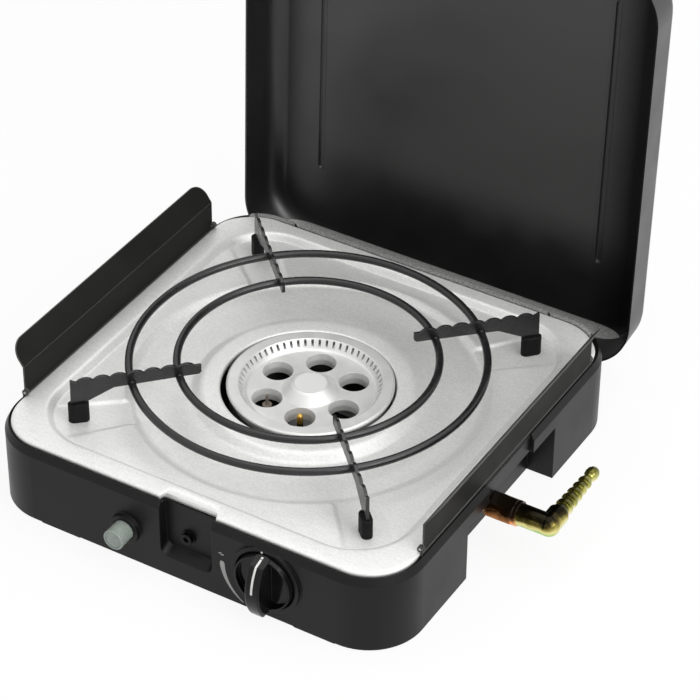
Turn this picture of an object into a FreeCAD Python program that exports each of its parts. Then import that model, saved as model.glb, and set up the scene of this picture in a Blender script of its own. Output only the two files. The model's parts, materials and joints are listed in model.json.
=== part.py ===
import FreeCAD, Part
import math
import os

# Single burner gas stove with a hinged lid, standing open. Millimetres, +Z up, front towards -Y.
# Everything is drawn about the middle of the base, and moved at the end so that the origin is the
# middle of the whole stove's footprint.

V = FreeCAD.Vector
X = V(1, 0, 0)
Y = V(0, 1, 0)
Z = V(0, 0, 1)

# Base casing
BASE_HALF = 144.0
BASE_CORNER = 36.2
BASE_BOTTOM = 1.0
SHOULDER_Z = 49.5
RIM_Z = 54.3
RIM_OUTER_HALF = 141.6
RIM_INNER_HALF = 141.2
WALL = 2.5
LEDGE_Z = 52.4
LEDGE_THICK = 2.6
LEDGE_INNER_HALF = 135.5
STUD_AT = 124.0
FOOT_HALF = 14.0
FEET = [(-88.0, -134.0), (92.0, -134.0), (-76.0, 134.0), (76.0, 134.0)]

# Niche in the right wall, where the gas comes in
NICHE_FRONT = -54.8
NICHE_BACK = 54.5
NICHE_DEPTH = 18.0
NICHE_TOP = 41.0
SCOOP_FRONT = -29.0
SCOOP_BACK = 26.6
SILL_Z = 14.0

# Pocket in the front wall for the lid catch
POCKET_X = 3.8
POCKET_WIDTH = 36.4
POCKET_DEPTH = 7.0
POCKET_FLOOR = 15.0
POCKET_CORNER = 5.0
CATCH_X = 1.5
CATCH_Z = 30.0

# Stainless tray
TRAY_HALF = 139.6
TRAY_CORNER = 31.0
TRAY_SHEET = 1.0
TRAY_BORDER_Z = 56.3
TRAY_FIELD_Z = 52.2
TRAY_EDGE_LOW = 52.5
TRAY_LOW = 40.0
BEAD_OUTER_HALF = 126.5
BEAD_OUTER_CORNER = 40.0
BEAD_INNER_HALF = 122.5
BEAD_INNER_CORNER = 36.0
WELL_RADIUS = 113.0
WELL_Z = 48.5
COLLAR_Z = 52.6
COLLAR_RADIUS = 66.0
COLLAR_FOOT_RADIUS = 72.5
BURNER_HOLE_RADIUS = 54.5

# Burner, which sits a little to the right of the tray's middle
BURNER_X = 1.6
FLANGE_RADIUS = 52.2
FLANGE_Z = 55.3
DISH_RADIUS = 44.0
DISH_FLOOR_Z = 49.0
DISH_FLOOR_RADIUS = 41.0
DISH_SKIN = 3.0
HUB_Z = 54.6
HUB_RADIUS = 10.6
PORT_COUNT = 60
PORT_WIDTH = 1.5
PORT_LOW_Z = 51.0
AIR_HOLES = 6
AIR_HOLE_CIRCLE = 28.0
AIR_HOLE_RADIUS = 9.3
AIR_HOLE_TURN = -12.0
SLEEVE_WALL = 1.8
SLEEVE_LOW_Z = 41.0
TROUGH_Z = 24.5
TROUGH_INNER = 37.5
TROUGH_OUTER = 50.5
MIXER_X = 37.0
MIXER_Z = 33.5
MIXER_MOUTH = -108.0
JET_BACK = -119.0
BOLT_CIRCLE = 55.0

# Bridge under the burner, and the posts that it hangs from
BRIDGE_SHEET = 1.5
BRIDGE_LOW_Z = 22.5
BRIDGE_HIGH_Z = 28.5
POSTS = [(-132.0, -22.0), (-132.0, 22.0), (117.5, 8.0), (117.5, 42.0)]

# Pan support
WIRE = 5.0
RING_Z = 73.5
OUTER_RING = 110.0
INNER_RING = 80.6
FOOT_AT = 101.3
ARM_TIP = 67.0
ARM_END = 147.6
ARM_TOP_Z = 80.4
ARM_SHEET = 2.0
ARM_FLAT = 4.0
ARM_HUMPS = 7
ARM_PITCH = 10.4
ARM_HUMP_RISE = 2.3
ARM_SPIKE = 1.9
FOOT_FLOOR_Z = 50.4
CAP_HEIGHT = 14.5

# Wind shields and the steel rails that carry them
RAIL_X = 139.9
RAIL_SHEET = 1.0
RAIL_TOP_Z = 55.6
SHIELD_X = 140.4
SHIELD_SHEET = 0.8
SHIELD_FRONT = -102.8
SHIELD_BACK = 106.2
SHIELD_FOOT_Z = 56.2
SHIELD_BEND_Z = 76.6
SHIELD_LEAF = 16.4
SHIELD_LEAN = 33.5
SHIELD_CORNER = 11.0
PIVOT_X = 139.4
PIVOT_Z = 58.6
PIVOT_PIN = 0.9
RUNNING_GAP = 0.06
EYE_RADIUS = 2.0
EAR_GAP = 0.5
EAR_SHEET = 1.2

# Lid, drawn shut and then swung open
LID_HALF = 144.4
LID_CORNER = 37.0
LID_SHEET = 1.0
LID_RIM_Z = 51.6
LID_WALL = 28.6
LID_DRAFT = 2.2
LID_CROWN = 4.0
LID_BEND = 12.0
LID_OPEN_ANGLE = 92.0
HINGE_Y = 130.9
HINGE_Z = 30.5
HINGE_X = 95.0
HINGE_PIN = 2.0
HINGE_WEB = 2.5
EAR_THICK = 1.4
RIVET = 1.6
RIVET_SPREAD = 4.5
BRACKET_RIVET = 7.5
ARM_RIVET_Z = LID_RIM_Z + 12
CATCH_RIVET_Z = LID_RIM_Z + 9
BEAD_X = 104.0
BEAD_HALF = 3.0
BEAD_FRONT = -100.0
BEAD_BACK = 86.5
BEAD_RISE = 1.6

# Controls on the front wall
KNOB_X = 60.0
KNOB_Z = 29.4
KNOB_RADIUS = 19.8
KNOB_REACH = 16.7
SKIRT_DEPTH = 4.6
SKIRT_DISH = 3.0
GRIP_WIDTH = 9.6
GRIP_SLANT = 2.8
DIAL_RADIUS = 20.4
DIAL_RING_RADIUS = 23.1
DIAL_DEPTH = 3.4
DIAL_FLOOR = 2.0
DIAL_TOP_Z = 51.0
TAP_FACE = -BASE_HALF + DIAL_DEPTH + DIAL_FLOOR
TAP_LENGTH = 44.0
PUSH_ROD_RADIUS = 1.5
TAP_INLET = 22.0
TAP_OUTLET = 12.0
BUTTON_X = -38.6
BUTTON_Z = 24.9
BUTTON_RADIUS = 6.8
BUTTON_REACH = 14.5
BUTTON_GAP = 0.4
BUTTON_WALL = 1.3
IGNITER_RADIUS = 8.0
COLLAR_WIDE = 10.6
COLLAR_NARROW = 9.8
COLLAR_REACH = 3.2

# Gas inlet and hose nozzle
INLET_Y = -18.8
INLET_Z = 32.0
STUB_END = 150.0
NUT_END = 159.6
ELBOW_X = 179.0
NOZZLE_END = 40.5


def at(x, y, z):
    return V(x, y, z)


def moved(shape, x=0, y=0, z=0):
    copy = shape.copy()
    copy.translate(V(x, y, z))
    return copy


def mirrored_x(shape):
    return shape.mirror(V(0, 0, 0), X)


def turned_z(shape, degrees):
    copy = shape.copy()
    copy.rotate(V(0, 0, 0), Z, degrees)
    return copy


def box(x0, x1, y0, y1, z0, z1):
    return Part.makeBox(x1 - x0, y1 - y0, z1 - z0, V(x0, y0, z0))


def rod(radius, start, end):
    way = end - start
    return Part.makeCylinder(radius, way.Length, start, way)


def ring_about(outer, inner, start, end):
    way = end - start
    over = way * (1.0 / way.Length)
    return rod(outer, start, end).cut(rod(inner, start - over, end + over))


def hexagon(across_flats, start, end):
    way = end - start
    corner = across_flats / math.sqrt(3)
    side = way.cross(V(0.3, 0.2, 1)).normalize()
    up = way.cross(side).normalize()
    points = []
    for k in range(7):
        angle = math.radians(60 * k + 30)
        points.append(start + side * (corner * math.cos(angle)) + up * (corner * math.sin(angle)))
    return Part.Face(Part.makePolygon(points)).extrude(way)


def rounded_square(half, corner, z):
    """A square outline with round corners, as one wire at height z."""
    flat = half - corner
    mid = corner * math.sqrt(0.5)
    edges = []
    for k in range(4):
        turn = FreeCAD.Rotation(Z, 90 * k)
        a = turn.multVec(V(half, -flat, z))
        b = turn.multVec(V(half, flat, z))
        c = turn.multVec(V(flat + mid, flat + mid, z))
        d = turn.multVec(V(flat, half, z))
        edges.append(Part.makeLine(a, b))
        edges.append(Part.Arc(b, c, d).toShape())
    return Part.Wire(edges)


def slab(half, corner, z0, z1):
    return Part.Face(rounded_square(half, corner, z0)).extrude(V(0, 0, z1 - z0))


def taper(half0, corner0, z0, half1, corner1, z1):
    """A block whose rounded-square outline changes evenly from z0 to z1."""
    wires = [rounded_square(half0, corner0, z0), rounded_square(half1, corner1, z1)]
    return Part.makeLoft(wires, True, True)


def spun(points):
    """The solid of revolution about the Z axis of a closed outline of (radius, z) points."""
    outline = [V(r, 0, z) for r, z in points]
    outline.append(outline[0])
    return Part.Face(Part.makePolygon(outline)).revolve(V(0, 0, 0), Z, 360)


def side_plate(points, x0, x1):
    """A plate square to X, from a closed outline of (y, z) points."""
    outline = [V(x0, y, z) for y, z in points]
    outline.append(outline[0])
    return Part.Face(Part.makePolygon(outline)).extrude(V(x1 - x0, 0, 0))


def end_plate(points, y0, y1):
    """A plate square to Y, from a closed outline of (x, z) points."""
    outline = [V(x, y0, z) for x, z in points]
    outline.append(outline[0])
    return Part.Face(Part.makePolygon(outline)).extrude(V(0, y1 - y0, 0))


def piped(points, bend, radius):
    """A round bar or pipe through the points, with an arc of the given bend radius at each turn."""
    edges = []
    last = points[0]
    for k in range(1, len(points) - 1):
        back = (points[k - 1] - points[k]).normalize()
        ahead = (points[k + 1] - points[k]).normalize()
        half = back.getAngle(ahead) / 2
        cut = bend / math.tan(half)
        start = points[k] + back * cut
        end = points[k] + ahead * cut
        middle = points[k] + (back + ahead).normalize() * (bend / math.sin(half) - bend)
        edges.append(Part.makeLine(last, start))
        edges.append(Part.Arc(start, middle, end).toShape())
        last = end
    edges.append(Part.makeLine(last, points[-1]))
    path = Part.Wire(edges)
    first = (points[1] - points[0]).normalize()
    section = Part.Wire(Part.makeCircle(radius, points[0], first))
    return path.makePipeShell([section], True, False)


def base_casing():
    """Moulded black casing: open below, bevelled rim, ledge for the tray, niche and catch pocket."""
    shell = slab(BASE_HALF, BASE_CORNER, BASE_BOTTOM, SHOULDER_Z)
    bevel = BASE_HALF - RIM_OUTER_HALF
    shell = shell.fuse(taper(BASE_HALF, BASE_CORNER, SHOULDER_Z,
                             BASE_HALF - bevel, BASE_CORNER - bevel, RIM_Z))
    inner = BASE_HALF - WALL
    shell = shell.cut(slab(inner, BASE_CORNER - WALL, 0, LEDGE_Z - LEDGE_THICK))
    inset = BASE_HALF - LEDGE_INNER_HALF
    shell = shell.cut(slab(LEDGE_INNER_HALF, BASE_CORNER - inset, 0, RIM_Z + 1))
    inset = BASE_HALF - RIM_INNER_HALF
    shell = shell.cut(slab(RIM_INNER_HALF, BASE_CORNER - inset, LEDGE_Z, RIM_Z + 1))
    shell = shell.fuse(corner_gussets())
    shell = shell.fuse(pocket_block()).cut(pocket_space())
    shell = shell.fuse(niche_walls()).cut(niche_space())
    shell = shell.fuse(hanging_posts())
    shell = shell.fuse(dial_pan())
    shell = shell.cut(control_holes())
    shell = shell.cut(hinge_slots())
    return shell.removeSplitter()


def corner_gussets():
    """Flat webs across the four inner corners, each with a hole for a tray stud."""
    reach = LEDGE_INNER_HALF + 1
    cut = 104.0
    points = [V(reach, cut, 0), V(reach, reach, 0), V(cut, reach, 0), V(reach, cut, 0)]
    web = Part.Face(Part.makePolygon(points)).extrude(V(0, 0, LEDGE_THICK - 0.6))
    web = moved(web, z=LEDGE_Z - LEDGE_THICK)
    web = web.common(slab(BASE_HALF - WALL, BASE_CORNER - WALL, 0, RIM_Z))
    web = web.cut(rod(2.3, at(STUD_AT, STUD_AT, 0), at(STUD_AT, STUD_AT, RIM_Z)))
    return Part.makeCompound([turned_z(web, 90 * k) for k in range(4)])


def pocket_block():
    half = POCKET_WIDTH / 2 + WALL
    back = -BASE_HALF + POCKET_DEPTH + WALL
    return box(POCKET_X - half, POCKET_X + half, -BASE_HALF + 1, back, POCKET_FLOOR - 3, LEDGE_Z)


def pocket_space():
    """The catch pocket: upright back, sloping floor, open at the rim."""
    front = -BASE_HALF - 1
    back = -BASE_HALF + POCKET_DEPTH
    top = RIM_Z + 1
    outline = [(front, POCKET_FLOOR - 0.5), (back, POCKET_FLOOR + 4), (back, top), (front, top)]
    half = POCKET_WIDTH / 2
    space = side_plate(outline, POCKET_X - half, POCKET_X + half)
    low = [e for e in space.Edges if e.BoundBox.XLength < 0.1 and e.CenterOfMass.z < POCKET_FLOOR + 4]
    space = space.makeFillet(POCKET_CORNER, low)
    hole = rod(1.7, at(CATCH_X, back - 1, CATCH_Z), at(CATCH_X, back + WALL + 1, CATCH_Z))
    return space.fuse(hole)


def niche_walls():
    """The niche's two ends and its back, with a low sill below a wide window."""
    back = BASE_HALF - NICHE_DEPTH
    low = BASE_BOTTOM
    ends = box(back - WALL, BASE_HALF - 1, NICHE_FRONT - WALL, NICHE_FRONT, low, LEDGE_Z - 1)
    ends = ends.fuse(box(back - WALL, BASE_HALF - 1, NICHE_BACK, NICHE_BACK + WALL, low, LEDGE_Z - 1))
    wall = box(back - WALL, back, NICHE_FRONT, NICHE_BACK, low, LEDGE_Z - 1)
    roof = box(back - WALL, BASE_HALF - 1, NICHE_FRONT, NICHE_BACK, NICHE_TOP, NICHE_TOP + 2)
    window = box(back - WALL - 1, back + 1, SCOOP_FRONT, SCOOP_BACK, SILL_Z, NICHE_TOP)
    slot = box(back - WALL - 1, back + 1, 3.0, 10.0, 6.5, 10.0)
    lintel = box(RIM_INNER_HALF - WALL, RIM_INNER_HALF, SCOOP_FRONT - 2, SCOOP_BACK + 2,
                 NICHE_TOP, LEDGE_Z - 1)
    return ends.fuse(wall).fuse(roof).fuse(lintel).cut(window).cut(slot)


def niche_space():
    """What is open in the right wall: the niche itself and the scoop in the rim above it."""
    back = BASE_HALF - NICHE_DEPTH
    space = box(back, BASE_HALF + 1, NICHE_FRONT, NICHE_BACK, 0, NICHE_TOP)
    scoop = box(RIM_INNER_HALF, BASE_HALF + 1, SCOOP_FRONT, SCOOP_BACK, NICHE_TOP - 3, RIM_Z + 1)
    edges = [e for e in scoop.Edges if abs(e.Length - (BASE_HALF + 1 - RIM_INNER_HALF)) < 0.01]
    low = [e for e in edges if e.CenterOfMass.z < NICHE_TOP]
    scoop = scoop.makeFillet(2.5, low)
    return space.fuse(scoop)


def hanging_posts():
    """Posts inside the side walls that the burner bridge is screwed up against."""
    room = rod(WELL_RADIUS + 3, at(0, 0, WELL_Z - TRAY_SHEET - 0.8), at(0, 0, RIM_Z))
    room = room.fuse(slab(BEAD_OUTER_HALF, BEAD_OUTER_CORNER, TRAY_FIELD_Z - TRAY_SHEET - 0.8, RIM_Z))
    posts = []
    for x, y in POSTS:
        post = rod(4.5, at(x, y, BRIDGE_HIGH_Z), at(x, y, LEDGE_Z - 1))
        reach = -BASE_HALF + 1 if x < 0 else BASE_HALF - NICHE_DEPTH - 0.5
        low = BRIDGE_HIGH_Z + 3 if x < 0 else NICHE_TOP + 0.5
        rib = box(min(x, reach), max(x, reach), y - 1.5, y + 1.5, low, LEDGE_Z - 1)
        post = post.fuse(rib).cut(room)
        posts.append(post.cut(rod(1.6, at(x, y, BRIDGE_HIGH_Z - 1), at(x, y, BRIDGE_HIGH_Z + 12))))
    return Part.makeCompound(posts)


def dial_pan():
    """The raised ring round the knob and the wall behind it, and the boss round the igniter button."""
    face = -BASE_HALF
    floor = face + DIAL_DEPTH + DIAL_FLOOR
    pan = rod(DIAL_RING_RADIUS, at(KNOB_X, floor, KNOB_Z), at(KNOB_X, face - 2.0, KNOB_Z))
    pan = pan.cut(box(KNOB_X - 30, KNOB_X + 30, face - 3, floor + 1, DIAL_TOP_Z, LEDGE_Z + 5))
    root = at(BUTTON_X, face + 1, BUTTON_Z)
    boss = Part.makeCone(COLLAR_WIDE, COLLAR_NARROW, COLLAR_REACH + 1, root, V(0, -1, 0))
    return pan.fuse(boss)


def control_holes():
    """The sunk dial that lets the knob be pushed in, and the holes for the stem and the button."""
    face = -BASE_HALF
    dial = rod(DIAL_RADIUS, at(KNOB_X, face - 3, KNOB_Z), at(KNOB_X, face + DIAL_DEPTH, KNOB_Z))
    stem = rod(5.5, at(KNOB_X, face - 3, KNOB_Z), at(KNOB_X, face + 7, KNOB_Z))
    hole = BUTTON_RADIUS + BUTTON_GAP
    button = rod(hole, at(BUTTON_X, face - 5, BUTTON_Z), at(BUTTON_X, face + 5, BUTTON_Z))
    return dial.fuse(stem).fuse(button)


def hinge_slots():
    slots = []
    for x in (-HINGE_X, HINGE_X):
        half = HINGE_WEB / 2 + 0.6
        slots.append(box(x - half, x + half, RIM_INNER_HALF - 2.6, BASE_HALF + 1, 17.0, RIM_Z + 1))
    return Part.makeCompound(slots)


def rubber_foot(x, y):
    """A pad pressed on to the bottom edge of the casing wall, proud by one millimetre."""
    pad = box(x - FOOT_HALF, x + FOOT_HALF, BASE_HALF - 11.6, BASE_HALF - 0.4, 0, BASE_BOTTOM + 6)
    groove = box(x - FOOT_HALF - 1, x + FOOT_HALF + 1, BASE_HALF - WALL - 0.05, BASE_HALF + 0.5,
                 BASE_BOTTOM, BASE_BOTTOM + 9)
    pad = pad.cut(groove)
    return pad if y > 0 else pad.mirror(V(0, 0, 0), Y)


def tray_block(inset):
    """Everything under the tray's skin; the sheet is this block less the same block inset."""
    drop = inset
    top = TRAY_BORDER_Z - drop
    block = slab(TRAY_HALF - inset, TRAY_CORNER - inset, TRAY_LOW - drop, top)
    bead = taper(BEAD_OUTER_HALF, BEAD_OUTER_CORNER, top,
                 BEAD_INNER_HALF, BEAD_INNER_CORNER, TRAY_FIELD_Z - drop)
    block = block.cut(bead)
    well = spun([(0, WELL_Z - drop), (WELL_RADIUS - 5, WELL_Z - drop),
                 (WELL_RADIUS, TRAY_FIELD_Z - drop), (WELL_RADIUS, top + 5), (0, top + 5)])
    block = block.cut(well)
    collar = spun([(0, TRAY_LOW - drop), (COLLAR_FOOT_RADIUS, TRAY_LOW - drop),
                   (COLLAR_FOOT_RADIUS, WELL_Z - drop), (COLLAR_RADIUS, COLLAR_Z - drop),
                   (0, COLLAR_Z - drop)])
    block = block.fuse(collar)
    for k in range(4):
        block = block.cut(turned_z(foot_hollow(drop), 90 * k))
    jog = POCKET_WIDTH / 2 + 1
    edge = -BASE_HALF + POCKET_DEPTH + 1.2 + inset
    notch = box(POCKET_X - jog - inset, POCKET_X + jog + inset, -TRAY_HALF - 1, edge,
                TRAY_LOW - 2, TRAY_BORDER_Z + 1)
    return block.cut(notch)


def foot_hollow(drop):
    """A round dimple for a support foot and the pressed wedge that runs from it to the well."""
    spot = V(FOOT_AT, FOOT_AT, FOOT_FLOOR_Z - drop)
    dimple = Part.makeCone(9.0, 11.0, 2.4, spot, Z)
    out = FOOT_AT * math.sqrt(2)
    near = [V(out, -6, TRAY_FIELD_Z - drop + 0.2), V(out, 6, TRAY_FIELD_Z - drop + 0.2)]
    far_z = WELL_Z - drop + 1.4
    far = [V(WELL_RADIUS - 9, 14, far_z), V(WELL_RADIUS - 9, -14, far_z)]
    slope = Part.Face(Part.makePolygon(near + far + near[:1])).extrude(V(0, 0, 6))
    return dimple.fuse(turned_z(slope, 45))


def steel_tray():
    """Pressed stainless top: turned-down rim, stepped border, round well and burner collar."""
    sheet = tray_block(0).cut(tray_block(TRAY_SHEET))
    skirt = slab(TRAY_HALF + 2, TRAY_CORNER + 2, TRAY_LOW - 5, TRAY_EDGE_LOW)
    skirt = skirt.cut(slab(BEAD_OUTER_HALF + 2, BEAD_OUTER_CORNER + 2, TRAY_LOW - 6, TRAY_EDGE_LOW + 1))
    for side in (-1, 1):
        x0, x1 = sorted((side * (TRAY_HALF - 3), side * (TRAY_HALF + 1)))
        skirt = skirt.fuse(box(x0, x1, SHIELD_FRONT - 3, SHIELD_BACK + 3, TRAY_LOW, TRAY_EDGE_LOW + 1))
    sheet = sheet.cut(skirt)
    sheet = sheet.cut(rod(BURNER_HOLE_RADIUS, at(0, 0, TRAY_LOW - 5), at(0, 0, TRAY_BORDER_Z)))
    lip = ring_about(BURNER_HOLE_RADIUS + TRAY_SHEET, BURNER_HOLE_RADIUS,
                     at(0, 0, COLLAR_Z - 4), at(0, 0, COLLAR_Z - 0.2))
    return sheet.fuse(lip).removeSplitter()


def stud(x, y):
    under = TRAY_BORDER_Z - TRAY_SHEET
    return rod(2.0, at(x, y, under - 11.0), at(x, y, under))


def nut(x, y):
    top = LEDGE_Z - LEDGE_THICK
    body = hexagon(7.0, at(x, y, top - 3.2), at(x, y, top))
    return body.cut(rod(2.0, at(x, y, top - 4), at(x, y, top + 1)))


def four_corners(make, spread):
    return Part.makeCompound([make(sx * spread, sy * spread) for sx in (-1, 1) for sy in (-1, 1)])


def burner_head():
    """Cast head: flat flange, sloping wall with a ring of ports, floor with six air holes, hub."""
    low = DISH_FLOOR_Z - DISH_SKIN
    body = FLANGE_RADIUS - 3
    outline = [(0, low), (body, low), (body, FLANGE_Z - 3), (FLANGE_RADIUS, FLANGE_Z - 2.2),
               (FLANGE_RADIUS, FLANGE_Z - 0.8), (FLANGE_RADIUS - 1.2, FLANGE_Z),
               (DISH_RADIUS + 0.8, FLANGE_Z), (DISH_RADIUS, FLANGE_Z - 0.8),
               (DISH_FLOOR_RADIUS, DISH_FLOOR_Z + 1.0), (DISH_FLOOR_RADIUS - 1.5, DISH_FLOOR_Z),
               (18.0, DISH_FLOOR_Z), (HUB_RADIUS + 1.6, HUB_Z - 0.9), (HUB_RADIUS, HUB_Z), (0, HUB_Z)]
    head = spun(outline)
    channel = spun([(DISH_FLOOR_RADIUS + 3.6, low - 1), (body - 2.4, low - 1),
                    (body - 2.4, FLANGE_Z - 2.5), (DISH_RADIUS + 1.6, FLANGE_Z - 2.5)])
    head = head.cut(channel)
    head = head.cut(spun([(0, low - 1), (9.0, low - 1), (8.0, HUB_Z - 2.5), (0, HUB_Z - 2.5)]))
    head = with_air_holes(head, low)
    half = PORT_WIDTH / 2
    port = box(DISH_FLOOR_RADIUS - 1, DISH_RADIUS + 2.2, -half, half, PORT_LOW_Z, FLANGE_Z - 0.7)
    ports = [turned_z(port, 360 / PORT_COUNT * k) for k in range(PORT_COUNT)]
    return head.cut(Part.makeCompound(ports))


def with_air_holes(head, low):
    """Cuts the six air holes, each with a short sleeve below the floor and a slightly wider mouth."""
    room = rod(TROUGH_INNER - 0.2, at(0, 0, SLEEVE_LOW_Z), at(0, 0, low + 1))
    spots = [air_hole(k) for k in range(AIR_HOLES)]
    for x, y in spots:
        sleeve = rod(AIR_HOLE_RADIUS + SLEEVE_WALL, at(x, y, SLEEVE_LOW_Z), at(x, y, low + 1))
        head = head.fuse(sleeve.common(room))
    throat = AIR_HOLE_RADIUS - 0.6
    mouth = AIR_HOLE_RADIUS + 0.3
    depth = (DISH_FLOOR_Z - SLEEVE_LOW_Z) / 2
    for x, y in spots:
        head = head.cut(rod(throat, at(x, y, SLEEVE_LOW_Z - 1), at(x, y, DISH_FLOOR_Z + 4)))
        head = head.cut(Part.makeCone(throat, mouth, depth, at(x, y, DISH_FLOOR_Z - depth), Z))
    return head


def burner_body():
    """Cast lower half: a ring-shaped gas trough with the socket of the mixing tube."""
    top = DISH_FLOOR_Z - DISH_SKIN
    low = TROUGH_Z
    trough = spun([(TROUGH_INNER, top), (TROUGH_INNER, low), (TROUGH_OUTER, low), (TROUGH_OUTER, top),
                   (TROUGH_OUTER - 3.5, top), (TROUGH_OUTER - 3.5, low + 2.5),
                   (TROUGH_INNER + 2.5, low + 2.5), (TROUGH_INNER + 2.5, top)])
    base = ring_about(TROUGH_OUTER, TROUGH_INNER, at(0, 0, BRIDGE_LOW_Z), at(0, 0, low))
    for x, y in bolt_spots():
        base = base.fuse(rod(6.0, at(x, y, BRIDGE_LOW_Z), at(x, y, low)))
    body = trough.fuse(base)
    core = rod(49.0, at(0, 0, 0), at(0, 0, top + 20))
    neck = rod(11.0, at(MIXER_X, -30.0, MIXER_Z), at(MIXER_X, -56.0, MIXER_Z))
    body = body.fuse(neck.cut(core))
    bore = rod(9.0, at(MIXER_X, -20.0, MIXER_Z), at(MIXER_X, -57.0, MIXER_Z))
    body = body.cut(bore.cut(rod(41.0, at(0, 0, 0), at(0, 0, top + 20))))
    for x, y in bolt_spots():
        body = body.cut(rod(2.1, at(x, y, BRIDGE_LOW_Z - 1), at(x, y, low + 0.1)))
    return body.removeSplitter()


def bolt_spots():
    return [(0.0, BOLT_CIRCLE), (-BOLT_CIRCLE, 0.0)]


def mixing_tube():
    """Venturi tube from the burner body forward to the jet, with air windows at its mouth."""
    outer = [(0, -45.0), (9.0, -45.0), (9.0, -60.0), (7.5, -72.0), (7.5, -82.0),
             (10.5, -94.0), (10.5, MIXER_MOUTH), (0, MIXER_MOUTH)]
    inner = [(0, -44.0), (7.8, -44.0), (7.8, -60.0), (6.3, -72.0), (6.3, -82.0),
             (9.3, -94.0), (9.3, MIXER_MOUTH + 1.2), (4.2, MIXER_MOUTH + 1.2),
             (4.2, MIXER_MOUTH - 1.0), (0, MIXER_MOUTH - 1.0)]
    tube = turned_profile(outer).cut(turned_profile(inner))
    low = MIXER_MOUTH + 4
    high = MIXER_MOUTH + 11
    tube = tube.cut(box(-12, 12, low, high, -3.5, 3.5))
    tube = tube.cut(box(-3.5, 3.5, low, high, -12, 12))
    return moved(tube, x=MIXER_X, z=MIXER_Z)


def turned_profile(points):
    """The solid of revolution about the Y axis of (radius, y) points."""
    outline = [V(r, y, 0) for r, y in points]
    outline.append(outline[0])
    return Part.Face(Part.makePolygon(outline)).revolve(V(0, 0, 0), Y, 360)


def jet():
    """Brass jet: hexagon, nose that enters the mixing tube, and a fine drilling."""
    front = MIXER_MOUTH - 0.6
    body = hexagon(10.0, at(0, JET_BACK + 3.0, 0), at(0, front, 0))
    nose = Part.makeCone(3.9, 2.2, 6.0, at(0, front, 0), Y)
    tail = rod(3.4, at(0, JET_BACK, 0), at(0, JET_BACK + 3.0, 0))
    bored = body.fuse(nose).fuse(tail).cut(rod(0.6, at(0, JET_BACK - 1, 0), at(0, front + 8, 0)))
    return moved(bored, x=MIXER_X, z=MIXER_Z)


def burner_bridge():
    """Pressed steel strap under the burner, screwed to the casing's hanging posts."""
    top = BRIDGE_HIGH_Z
    low = BRIDGE_LOW_Z
    thick = BRIDGE_SHEET
    left = box(-138.0, -120.0, -30.0, 30.0, top - thick, top)
    right = box(107.0, 122.8, 0.0, 49.0, top - thick, top)
    floor = box(-114.0, 100.0, -18.0, 18.0, low - thick, low)
    left_side = [(-120.0, top - thick), (-120.0, top), (-114.0, low), (-114.0, low - thick)]
    left_ramp = end_plate(left_side, -18.0, 18.0)
    right_side = [(100.0, low), (107.0, top), (107.0, top - thick), (100.0, low - thick)]
    right_ramp = end_plate(right_side, 0.0, 18.0)
    strap = left.fuse(left_ramp).fuse(floor).fuse(right_ramp).fuse(right)
    strap = strap.fuse(box(-8.0, 8.0, 17.0, 63.0, low - thick, low))
    strap = strap.cut(rod(12.0, at(0, 0, 10), at(0, 0, 30)))
    for x, y in POSTS:
        strap = strap.cut(rod(1.6, at(x, y, 10), at(x, y, 30)))
    for x, y in bolt_spots():
        strap = strap.cut(rod(2.1, at(x + BURNER_X, y, 10), at(x + BURNER_X, y, 30)))
    return strap.removeSplitter()


def bridge_screw(x, y):
    under = BRIDGE_HIGH_Z - BRIDGE_SHEET
    shank = rod(1.6, at(x, y, under), at(x, y, under + 12))
    head = Part.makeCone(2.2, 3.6, 2.2, at(x, y, under - 2.2), Z)
    return shank.fuse(head)


def burner_bolt(x, y):
    under = BRIDGE_LOW_Z - BRIDGE_SHEET
    shank = rod(2.1, at(x, y, under), at(x, y, TROUGH_Z))
    head = rod(3.6, at(x, y, under - 2.4), at(x, y, under))
    return shank.fuse(head)


def air_hole(k):
    """The middle of the k-th air hole in the burner's floor, from the burner's own middle."""
    angle = math.radians(AIR_HOLE_TURN + 360 / AIR_HOLES * k)
    return AIR_HOLE_CIRCLE * math.cos(angle), AIR_HOLE_CIRCLE * math.sin(angle)


def thermocouple():
    """Flame sensor: a slim probe standing up through one of the burner's air holes."""
    x, y = air_hole(5)
    tip = rod(2.0, at(x, y, 30.0), at(x, y, 49.5))
    dome = Part.makeSphere(2.0, at(x, y, 49.5))
    sleeve = rod(3.2, at(x, y, 28.0), at(x, y, 36.0))
    return tip.fuse(dome).fuse(sleeve)


def spark_electrode():
    """Ceramic rod with a wire tip, standing in the next air hole."""
    x, y = air_hole(4)
    ceramic = rod(3.0, at(x, y, 28.0), at(x, y, 44.0))
    wire = rod(1.0, at(x, y, 44.0), at(x, y, 51.0))
    return ceramic.fuse(wire)


def sensor_bracket():
    """Small steel arm that holds the probe and the electrode on the bridge."""
    plate = box(-24.0, 13.0, -31.0, -17.0, 28.5, 30.0)
    plate = plate.common(rod(36.8, at(0, 0, 20), at(0, 0, 40)))
    leg = box(-6.0, 6.0, -18.5, -17.0, BRIDGE_LOW_Z, 30.0)
    foot = box(-6.0, 6.0, -18.0, -12.8, BRIDGE_LOW_Z, BRIDGE_LOW_Z + 1.5)
    shape = plate.fuse(leg).fuse(foot)
    for k, radius in ((5, 3.2), (4, 3.0)):
        x, y = air_hole(k)
        shape = shape.cut(rod(radius, at(x, y, 20), at(x, y, 40)))
    return shape.removeSplitter()


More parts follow.
